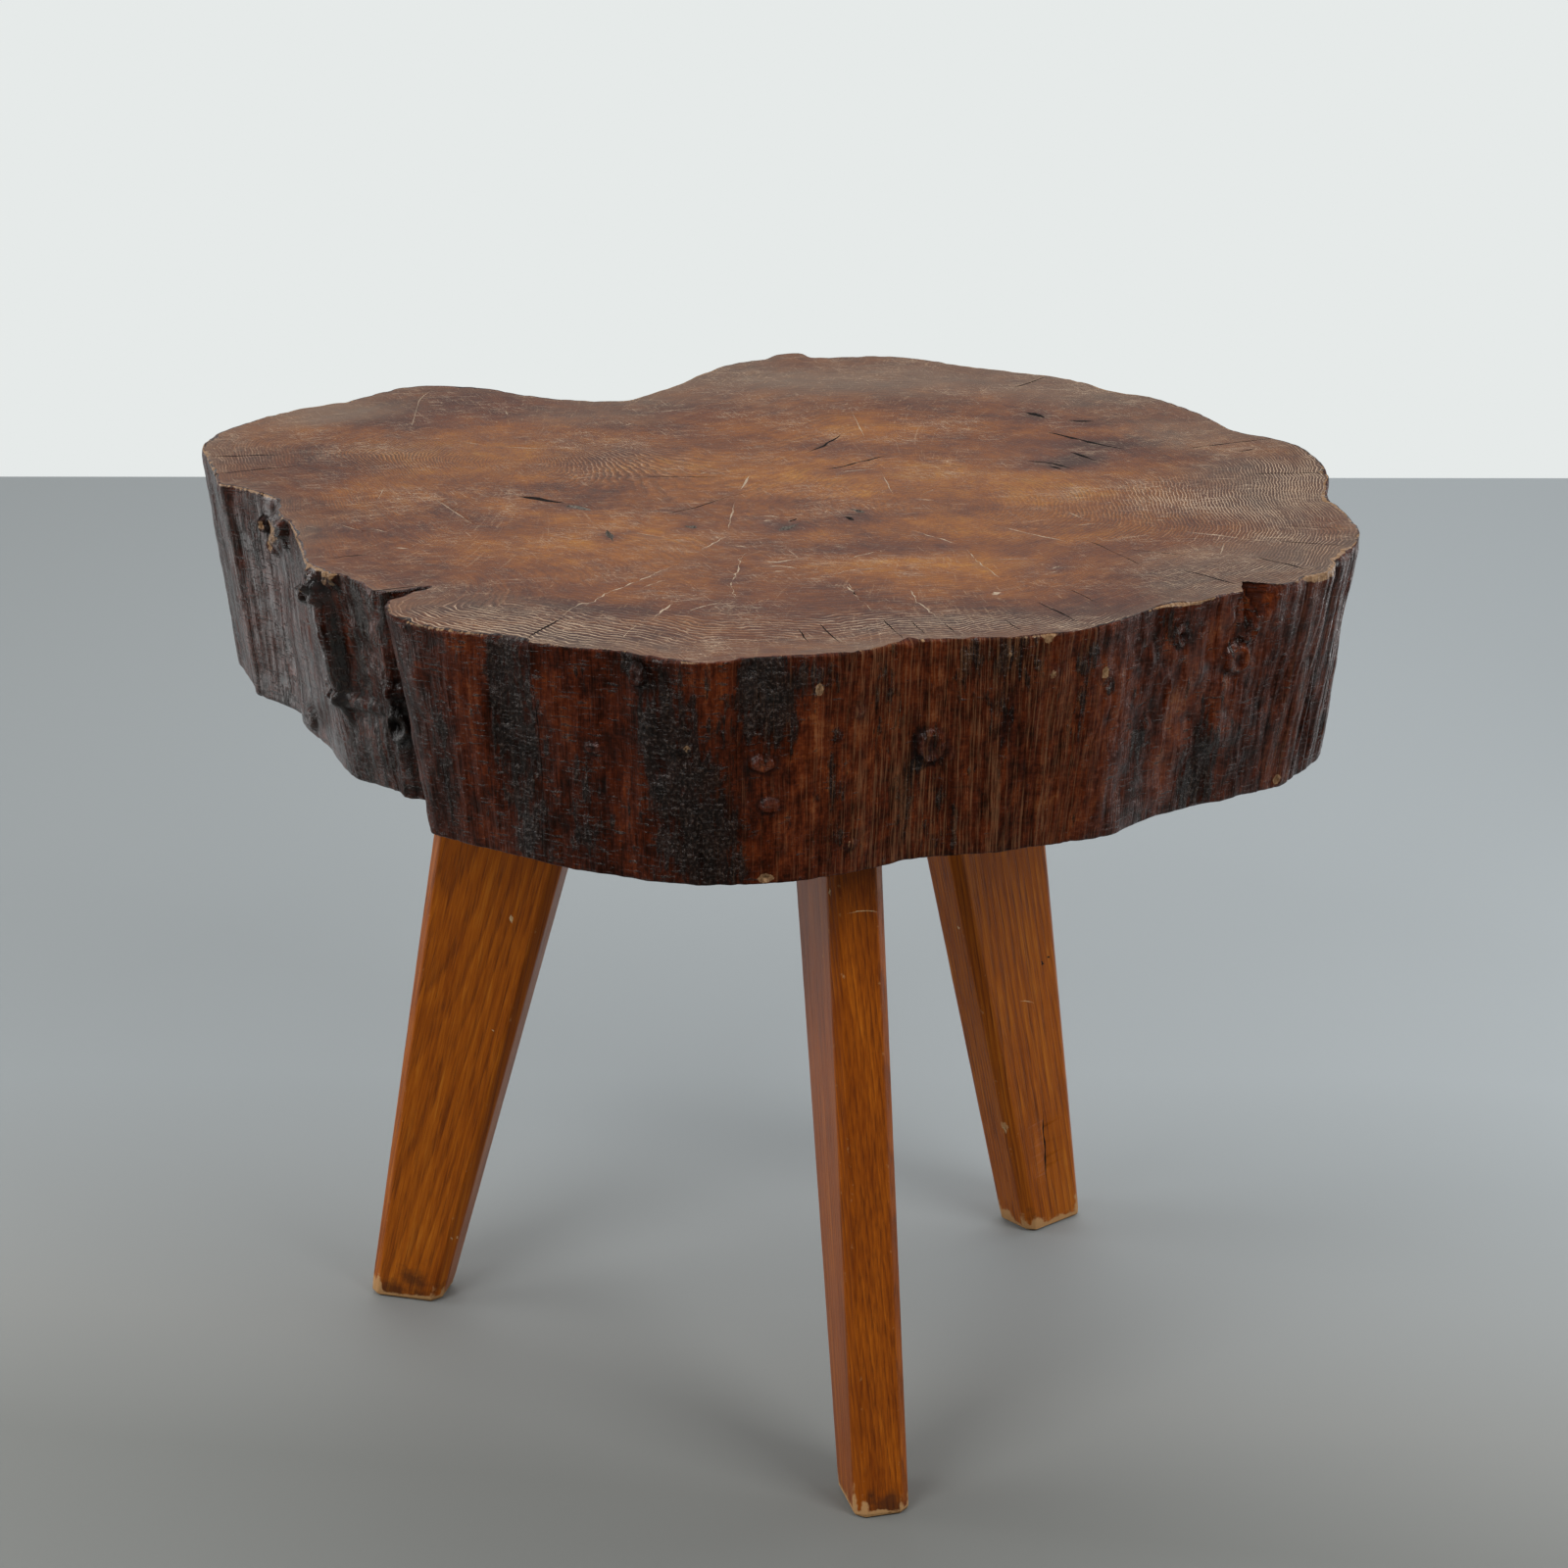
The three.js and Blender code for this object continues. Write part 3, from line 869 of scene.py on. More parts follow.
@dataclass(frozen=True)
class Knot:
    """A knot, burr or chip on the natural edge, placed by a pixel of the photograph.

    The rise is the bump's height, the pit its hollow, and the ring a lip round it, all in
    millimetres. Glow, dark, pale and gnarl say how the finish changes there, 0 to 1. Pale is
    bared tan wood, and on a few knots a painted highlight; the crease and the pit are darkened
    with painted shade.
    """

    pixel: tuple[float, float]
    wide: float
    tall: float
    rise: float = 0.0
    pit: float = 0.0
    ring: float = 0.0
    glow: float = 0.0
    dark: float = 0.0
    pale: float = 0.0
    gnarl: float = 0.0


class Tone(IntEnum):
    """Channels of the slab's tone attribute; the last one holds rings on the end grain."""

    WARM = 0
    DARK = 1
    # Pale wear and bared wood; on a few knots a painted highlight, and along the back of the top a
    # painted sheen
    PALE = 2
    # On the natural edge: painted shade in grooves, creases and pits; on the end grain: the rings
    GROOVE_SHADE_AND_RINGS = 3


# The rim as seen from above, counter-clockwise from the right end: x as a share of the slab's
# width, y as a share of its depth, and how far the underside is drawn in, as a share of the
# thickness. These are the shares from which the slab's solid is made.
RIM_SHARES = (
    (0.5, -0.112, 0.13), (0.497, -0.068, 0.12), (0.488, -0.02, 0.11), (0.481, 0.015, 0.1),
    (0.485, 0.082, 0.11), (0.48, 0.126, 0.12), (0.465, 0.175, 0.13), (0.445, 0.2, 0.13),
    (0.412, 0.225, 0.12), (0.383, 0.285, 0.12), (0.342, 0.342, 0.13), (0.31, 0.364, 0.12),
    (0.27, 0.407, 0.12), (0.212, 0.437, 0.11), (0.172, 0.456, 0.12), (0.14, 0.476, 0.12),
    (0.103, 0.489, 0.13), (0.062, 0.486, 0.12), (0.036, 0.485, 0.1), (0.027, 0.499, 0.12),
    (0.008, 0.496, 0.13), (-0.008, 0.476, 0.11), (-0.033, 0.464, 0.11), (-0.066, 0.422, 0.1),
    (-0.078, 0.395, 0.09), (-0.098, 0.367, 0.08), (-0.125, 0.334, 0.07), (-0.15, 0.327, 0.07),
    (-0.185, 0.333, 0.08), (-0.225, 0.351, 0.09), (-0.262, 0.377, 0.11), (-0.294, 0.385, 0.12),
    (-0.332, 0.374, 0.12), (-0.382, 0.326, 0.12), (-0.43, 0.291, 0.12), (-0.463, 0.256, 0.13),
    (-0.494, 0.204, 0.14), (-0.5, 0.168, 0.13), (-0.494, 0.133, 0.13), (-0.482, 0.068, 0.15),
    (-0.477, 0.044, 0.15), (-0.462, 0.035, 0.12), (-0.425, -0.006, 0.09), (-0.425, -0.033, 0.1),
    (-0.408, -0.089, 0.12), (-0.396, -0.16, 0.16), (-0.386, -0.211, 0.2), (-0.359, -0.241, 0.21),
    (-0.341, -0.267, 0.23), (-0.324, -0.293, 0.24), (-0.303, -0.288, 0.19),
    (-0.283, -0.276, 0.15), (-0.301, -0.302, 0.13), (-0.313, -0.316, 0.15),
    (-0.317, -0.335, 0.18), (-0.309, -0.368, 0.19), (-0.284, -0.394, 0.19),
    (-0.256, -0.412, 0.17), (-0.216, -0.426, 0.12), (-0.195, -0.442, 0.12),
    (-0.162, -0.456, 0.09), (-0.121, -0.468, 0.06), (-0.1, -0.484, 0.08), (-0.058, -0.5, 0.1),
    (-0.037, -0.498, 0.1), (-0.016, -0.486, 0.06), (0.015, -0.48, 0.06), (0.06, -0.472, 0.1),
    (0.078, -0.464, 0.11), (0.106, -0.441, 0.1), (0.126, -0.434, 0.13), (0.198, -0.426, 0.17),
    (0.234, -0.415, 0.19), (0.267, -0.395, 0.18), (0.294, -0.368, 0.13), (0.324, -0.332, 0.13),
    (0.352, -0.32, 0.19), (0.376, -0.3, 0.19), (0.427, -0.27, 0.21), (0.449, -0.243, 0.19),
    (0.465, -0.228, 0.19), (0.475, -0.198, 0.17), (0.489, -0.165, 0.16),
)

# Flutes of three sizes: their number round the rim, their noise's seed, their share of the
# depth and how sharp their crests are
FLUTE_SIZES = ((120, 3, 0.8, 6), (310, 4, 0.85, 4), (660, 11, 0.55, 3))
# Rings of the side near the underside and near the top: height from there, and how far the
# corner is eased inwards, in millimetres
EASE_BELOW = ((0.0, 1.1), (0.4, 0.4), (1.3, 0.0))
EASE_ABOVE = ((-1.6, 0.0), (-0.75, 0.25), (-0.25, 0.75), (0.0, 1.5), (0.0, 2.3))
# Corners of the flake that is broken out of the rim, by the signs of the cube's corners, in
# millimetres from its place on the rim
CHIP_CORNERS = {
    (-1, 1, 1): (0.0, 19.0, 6.0), (1, 1, 1): (25.0, 12.5, 6.0),
    (-1, -1, 1): (-1.5, -14.0, 6.0), (1, -1, 1): (27.0, -4.0, 6.0),
    (-1, 1, -1): (2.0, 6.0, -25.0), (1, 1, -1): (22.0, 6.5, -22.0),
    (-1, -1, -1): (0.0, -16.0, -27.0), (1, -1, -1): (24.0, -8.0, -24.0),
}
# Depth of the flutes in millimetres, how straight they run, the depth of the gnarled crust and
# of the lumps, the gloss of the lacquer, the dryness of the fibres and the wear of the rim, at
# rows of the rim's table
FLUTES_BY_ROW = (
    (0, 2.6), (4, 2.0), (12, 0.9), (22, 0.7), (34, 1.0), (37, 0.8), (39, 0.45), (44, 0.45),
    (46, 0.8), (48, 0.8), (51, 0.8), (53, 0.6), (60, 0.5), (66, 0.9), (69, 1.1), (70.5, 1.5),
    (73, 1.5), (74, 0.9), (77.6, 0.9), (78.6, 2.4), (80, 2.8), (83, 2.6),
)
STRAIGHT_BY_ROW = (
    (0, 0.8), (4, 0.0), (30, 0.0), (38, 0.8), (45, 0.6), (47, 0.1), (66, 0.0), (69, 0.9),
    (73, 0.9), (74, 0.1), (78, 0.1), (79, 0.85), (83, 0.85),
)
CRUST_BY_ROW = (
    (0, 0.2), (20, 0.35), (36, 0.2), (44, 0.12), (47, 0.4), (49, 1.2), (51.4, 2.0), (52.4, 0.5),
    (54, 0.2), (59, 0.4), (64, 0.45), (67, 0.3), (75, 0.25), (83, 0.2),
)
LUMPS_BY_ROW = (
    (0, 0.3), (20, 0.8), (36, 0.5), (41, 0.4), (46, 0.9), (52, 0.9), (56, 0.8), (66, 0.7),
    (69, 0.4), (73, 0.5), (74.5, 1.5), (77.5, 1.5), (78.5, 0.5), (83, 0.3),
)
GLOSS_BY_ROW = (
    (0, 0.6), (6, 0.2), (30, 0.2), (36, 0.6), (38, 0.85), (45, 0.9), (46.5, 0.75), (48, 0.6),
    (52, 0.3), (60, 0.12), (66, 0.08), (69, 0.05), (73, 0.1), (74, 0.4), (78, 0.45), (80, 0.45),
    (83, 0.55),
)
DRY_BY_ROW = (
    (0, 0.35), (4, 0.5), (20, 0.5), (36, 0.25), (40, 0.0), (52, 0.0), (62, 0.1), (66, 0.5),
    (68, 0.95), (72.5, 0.95), (74, 0.3), (78, 0.25), (79, 0.6), (83, 0.4),
)
RIM_WEAR_BY_ROW = (
    (0, 0.5), (20, 0.4), (36, 0.8), (40, 1.3), (50, 1.1), (52, 0.9), (60, 0.8), (64, 0.6),
    (70, 0.6), (74.5, 0.8), (75.5, 1.2), (78.7, 1.3), (79.2, 2.4), (80.4, 2.2), (81.2, 0.8),
    (83, 0.5),
)

# Knots, burrs, flutes and gnarled places of the natural edge
KNOTS = (
    Knot((649, 688), 5.0, 6.2, rise=4.0, pit=2.2, ring=1.2, dark=0.15, glow=1.2),
    Knot((657, 741), 3.0, 5.0, rise=1.4, pit=1.2, dark=0.6),
    Knot((605, 765), 4.2, 3.2, rise=1.8, pit=1.2, ring=0.7, glow=0.9),
    # Its pale is a painted highlight
    Knot((701, 765), 4.0, 3.6, rise=1.5, pit=0.6, pale=0.45),
    Knot((777, 780.6), 7.0, 4.2, rise=3.4, pit=1.6, ring=1.2, glow=1.4),
    # Its pale is a painted highlight
    Knot((785.3, 822.5), 5.4, 3.7, rise=3.4, pit=1.2, ring=0.9, pale=0.3, glow=0.9),
    Knot((758, 822.5), 3.6, 3.8, rise=0.8, pit=1.2, pale=0.5, glow=0.6),
    Knot((867, 860), 3.8, 3.3, rise=1.8, pit=0.5, pale=0.45, glow=0.4),
    Knot((877, 724.7), 3.0, 4.0, rise=1.6, pale=0.4),
    Knot((856, 752), 2.4, 3.2, rise=1.0, pit=1.0, dark=0.5),
    Knot((784, 704), 12.0, 20.0, gnarl=0.9),
    Knot((793, 709), 4.0, 4.0, rise=1.6, pit=1.0, dark=0.5),
    Knot((830, 690), 8.0, 10.0, gnarl=0.7),
    Knot((690, 682), 8.0, 8.0, gnarl=0.5),
    Knot((950, 759), 7.2, 9.0, rise=2.6, pit=2.0, ring=1.6, dark=0.15),
    Knot((941, 777), 3.6, 3.6, rise=1.2, dark=0.5),
    Knot((972, 770), 2.0, 3.2, rise=0.9, pit=0.6, pale=0.35),
    Knot((836, 705), 2.6, 4.6, rise=0.5, pit=1.0, pale=1.2),
    Knot((1128, 685), 2.4, 4.0, pit=0.9, pale=1.2),
    Knot((1132, 699), 3.2, 4.6, pit=1.1, dark=1.0),
    Knot((1070, 651), 2.8, 4.6, pit=0.8, pale=1.1),
    Knot((1074, 688), 3.2, 5.0, rise=1.2, pit=1.1, pale=0.45),
    Knot((1031, 668), 2.4, 4.0, rise=0.9, pale=0.4),
    Knot((1109, 672), 6.0, 6.4, rise=0.8, pit=1.0, dark=0.6),
    Knot((1207, 650), 4.6, 6.4, rise=2.8, pit=3.4, ring=0.8, dark=0.6, glow=0.6),
    Knot((1186, 708), 5.6, 15.0, rise=2.4, pit=0.8, ring=0.6),
    Knot((1173, 672), 3.6, 9.0, rise=1.8, pale=0.25),
    Knot((1163, 662), 2.4, 6.0, rise=1.2),
    Knot((1172, 739), 3.4, 5.0, rise=1.6),
    Knot((1261, 671), 7.8, 8.6, rise=4.6, pit=2.8, ring=1.0, dark=0.2, glow=1.2),
    Knot((1274, 645), 5.6, 5.8, rise=2.0, pit=2.4, ring=0.6, dark=0.5),
    Knot((1254, 631), 3.8, 7.6, rise=2.0),
    Knot((1304, 637), 3.2, 3.4, rise=1.8, pit=0.8),
    Knot((1225, 668), 5.0, 16.0, rise=1.6),
    Knot((1240, 745), 9.0, 12.0, rise=1.8),
    Knot((1205, 760), 8.0, 14.0, rise=1.4),
    Knot((782, 898), 5.6, 3.2, pit=1.6, pale=1.1),
    Knot((1303, 796), 3.6, 3.8, pit=1.0, pale=1.0),
    Knot((282, 543), 10.0, 11.0, rise=3.0, pale=0.6, gnarl=3.4),
    Knot((271, 534), 4.0, 5.0, rise=3.6, pit=1.6, ring=1.0, pale=0.6),
    Knot((289, 540), 4.0, 5.0, rise=3.6, pit=1.6, ring=1.0, pale=0.3),
    Knot((281, 556), 4.5, 5.0, rise=3.6, pit=2.0, ring=1.0, pale=0.55),
    Knot((291, 552), 4.0, 5.0, rise=2.6, pit=1.4, dark=0.8),
    Knot((275, 515), 6.0, 12.0, rise=2.0),
    Knot((293, 520), 5.9, 7.3, rise=2.5, pale=0.2),
    Knot((318, 590), 6.0, 7.0, rise=3.4, pit=1.8, ring=1.0, pale=0.5, gnarl=2.8),
    Knot((311, 606), 4.6, 5.0, rise=3.4, pit=2.0, ring=1.0, dark=0.5, gnarl=1.0),
    Knot((326, 604), 4.6, 6.0, rise=3.4, pit=2.0, ring=1.0, pale=0.3, gnarl=1.5),
    Knot((336, 590), 5.6, 8.0, rise=3.0, pit=1.4, pale=0.5, gnarl=2.4),
    Knot((320, 620), 5.0, 6.0, rise=2.6, pit=1.4, dark=0.6),
    Knot((338, 655), 6.0, 46.0, rise=5.0, gnarl=0.6),
    Knot((360, 660), 9.0, 46.0, gnarl=0.8),
    Knot((339, 698), 5.5, 7.0, rise=2.8, pit=1.4, ring=0.6, dark=0.4),
    Knot((320, 733), 5.6, 6.4, rise=3.2, pit=1.5, ring=0.5, dark=0.4),
    Knot((362, 717), 24.0, 5.0, rise=3.4, gnarl=0.6, pale=0.15),
    Knot((404, 741), 9.0, 10.0, rise=3.0, pit=6.0, ring=1.5, dark=1.0, gnarl=0.8),
    Knot((398, 705), 12.0, 4.6, rise=3.2, gnarl=0.7, pale=0.2),
    Knot((1350, 500), 4.0, 6.6, pit=1.5, pale=0.4),
)

# Colour of the natural edge: pixel, half width and half height in millimetres, and amount
BLACK_STAINS = (
    (528, 735, 14, 62, 1.0), (508, 700, 6, 34, 0.8), (545, 850, 12, 30, 0.7),
    (692, 790, 20, 62, 1.0), (668, 745, 9, 30, 0.8), (715, 850, 22, 40, 0.9),
    (774, 712, 15, 24, 1.4), (800, 730, 10, 20, 0.9), (776, 690, 9, 14, 1.3),
    (590, 820, 9, 40, 0.6), (612, 850, 6, 30, 0.5), (452, 780, 8, 60, 0.7),
    (425, 660, 5, 40, 0.5), (740, 880, 18, 24, 0.7), (835, 690, 14, 12, 0.7),
    (850, 820, 7, 30, 0.6), (905, 700, 9, 30, 0.6), (925, 800, 6, 34, 0.6),
    (965, 830, 9, 24, 0.7), (990, 680, 8, 22, 0.7), (1022, 690, 7, 44, 0.8),
    (1050, 668, 9, 20, 0.7), (1108, 690, 5, 30, 0.6), (1160, 770, 8, 26, 0.8),
    (1180, 660, 6, 14, 0.6), (1228, 775, 11, 30, 1.2), (1212, 800, 8, 18, 0.8),
    (1195, 632, 5, 12, 0.6), (372, 640, 26, 60, 0.15), (385, 690, 30, 60, 0.25),
    (412, 700, 8, 50, 0.6), (400, 775, 30, 26, 0.5), (385, 620, 20, 20, 0.4),
    (372, 790, 14, 18, 0.3), (262, 560, 5, 30, 0.5), (228, 560, 4, 40, 0.4),
    (290, 700, 6, 40, 0.4), (350, 800, 10, 10, 0.6), (640, 660, 9, 10, 0.7),
    (364, 615, 7, 26, 0.8), (352, 700, 6, 40, 0.7), (372, 700, 5, 30, 0.6),
)
WARM_STREAKS = (
    (478, 745, 13, 52, 1.0), (480, 690, 8, 20, 0.8), (562, 700, 8, 40, 0.8),
    (578, 740, 8, 34, 0.7), (470, 640, 12, 16, 0.7), (720, 740, 10, 34, 0.9),
    (735, 700, 11, 22, 0.8), (700, 690, 6, 14, 0.8), (820, 760, 14, 40, 1.0),
    (845, 730, 12, 30, 0.9), (870, 690, 8, 24, 0.7), (890, 740, 12, 40, 0.9),
    (935, 700, 12, 30, 0.8), (960, 690, 8, 20, 0.6), (1085, 740, 10, 60, 0.5),
    (1060, 760, 8, 50, 0.5), (1120, 760, 14, 44, 1.3), (1150, 700, 12, 30, 1.7),
    (1200, 720, 12, 40, 2.3), (1190, 650, 8, 16, 1.3), (1245, 650, 12, 24, 2.1),
    (1245, 720, 10, 40, 2.4), (1290, 640, 12, 20, 2.0), (1180, 800, 8, 24, 1.2),
    (246, 630, 8, 50, 1.8), (318, 660, 5, 30, 1.2), (352, 650, 8, 24, 1.8),
    (384, 640, 10, 30, 1.5), (376, 700, 10, 22, 1.3), (345, 775, 12, 12, 1.2),
    (372, 745, 12, 14, 1.2), (365, 600, 10, 12, 1.0), (395, 790, 10, 8, 1.0),
    (515, 870, 8, 20, 0.6), (640, 800, 8, 40, 0.6), (780, 860, 12, 20, 0.8),
    (800, 880, 10, 14, 0.6),
)

# The top's rings that show, and its colour: pixel, half width along x and y in millimetres, and
# amount
TOP_RINGS = (
    (400, 465, 44, 36, 1.0), (625, 470, 44, 40, 0.9), (470, 630, 60, 26, 0.85),
    (570, 642, 60, 26, 0.7), (700, 645, 90, 26, 0.55), (1170, 520, 60, 50, 0.6),
    (1290, 505, 60, 64, 0.85), (1250, 590, 60, 28, 0.75), (900, 632, 110, 26, 0.5),
    (330, 520, 60, 24, 0.5), (1330, 470, 30, 50, 0.8), (1335, 560, 40, 40, 0.7),
    (1060, 635, 90, 14, 0.8), (250, 470, 30, 34, 0.7),
)
TOP_WARM = (
    (560, 522, 34, 12, 0.7), (620, 560, 60, 26, 0.6), (690, 540, 50, 20, 0.6),
    (590, 585, 40, 18, 0.5), (850, 505, 42, 14, 0.7), (960, 490, 60, 20, 0.5),
    (1130, 500, 60, 30, 0.5), (1090, 465, 40, 16, 0.6), (1000, 575, 40, 16, 0.35),
    (940, 570, 50, 14, 0.4), (1110, 535, 50, 24, 0.3), (830, 545, 30, 12, 0.6),
    (500, 470, 60, 30, 0.2), (410, 460, 50, 26, 0.1), (900, 482, 60, 18, 0.8),
    (760, 634, 110, 14, 0.9), (480, 634, 70, 16, 0.5), (700, 470, 90, 26, 0.3),
    (480, 560, 50, 18, 0.5), (1070, 585, 14, 8, 0.7), (1200, 470, 24, 6, 0.4),
)
TOP_DARK = (
    (405, 428, 26, 16, 0.8), (470, 412, 60, 20, 0.6), (560, 418, 70, 24, 0.4),
    (760, 392, 80, 24, 0.4), (700, 420, 50, 16, 0.5), (960, 395, 90, 24, 0.2),
    (1150, 410, 60, 20, 0.4), (1290, 500, 40, 60, 0.4), (1057, 424, 14, 9, 1.5),
    (1104, 431, 16, 8, 1.3), (1120, 453, 30, 9, 1.4), (1105, 466, 18, 9, 1.4),
    (1075, 475, 28, 9, 1.3), (804, 538, 14, 10, 1.7), (870, 526, 15, 10, 1.4),
    (575, 517, 34, 9, 1.2), (622, 548, 8, 9, 1.3), (705, 538, 9, 9, 1.2), (1041, 566, 6, 8, 1.3),
    (748, 591, 8, 9, 1.0), (1083, 575, 7, 12, 1.1), (1058, 582, 16, 6, 0.8),
    (868, 480, 26, 7, 1.1), (840, 455, 16, 8, 0.9), (1230, 590, 60, 26, 0.7),
    (1060, 625, 80, 20, 0.7), (900, 635, 110, 16, 0.8), (560, 625, 60, 14, 0.9),
    (760, 620, 60, 14, 0.8), (560, 500, 50, 10, 0.7), (820, 512, 36, 8, 0.7),
    (900, 560, 70, 10, 0.8), (500, 530, 30, 12, 0.5), (340, 540, 40, 16, 0.5),
    (860, 455, 50, 10, 0.4), (1110, 470, 36, 12, 0.6), (1140, 455, 34, 10, 0.7),
    (300, 475, 40, 24, 0.5), (820, 600, 50, 12, 0.6),
)
# Pale spots: dust and wear, and those along the back rim a painted sheen
TOP_PALE_AND_SHEEN = (
    (350, 421, 26, 15, 1.4), (310, 430, 20, 12, 0.8), (480, 642, 60, 8, 0.2),
    (430, 622, 34, 12, 0.3), (560, 655, 60, 8, 0.2), (680, 662, 60, 8, 0.2),
    (820, 660, 70, 8, 0.3), (930, 645, 60, 8, 0.3), (540, 615, 50, 14, 0.2),
    (1250, 600, 40, 10, 0.5), (800, 392, 100, 26, 0.8), (930, 386, 90, 26, 0.9),
    (1080, 405, 60, 26, 0.7), (1190, 440, 40, 26, 0.6), (560, 428, 60, 20, 0.5),
    (1240, 490, 60, 40, 0.95), (1200, 570, 70, 24, 0.85), (920, 440, 90, 30, 0.35),
    (410, 420, 30, 20, 0.3), (1300, 560, 50, 26, 0.8), (1325, 520, 40, 30, 0.6),
    (700, 415, 60, 24, 0.4), (240, 460, 30, 30, 0.3),
)
# How close the rings lie from left to right: x in millimetres and their number beside the middle's
RING_CROWD = ((-330, 1.7), (-150, 1.5), (100, 1.3), (310, 1.9))


def strokes(slot: Slot, width: float, depth: float, *lines: Pixels, **shape: float
            ) -> list[Groove]:
    """Grooves of one kind, size and shape, one for each line of pixels."""
    return [Groove(slot, width, depth, line, **shape) for line in lines]


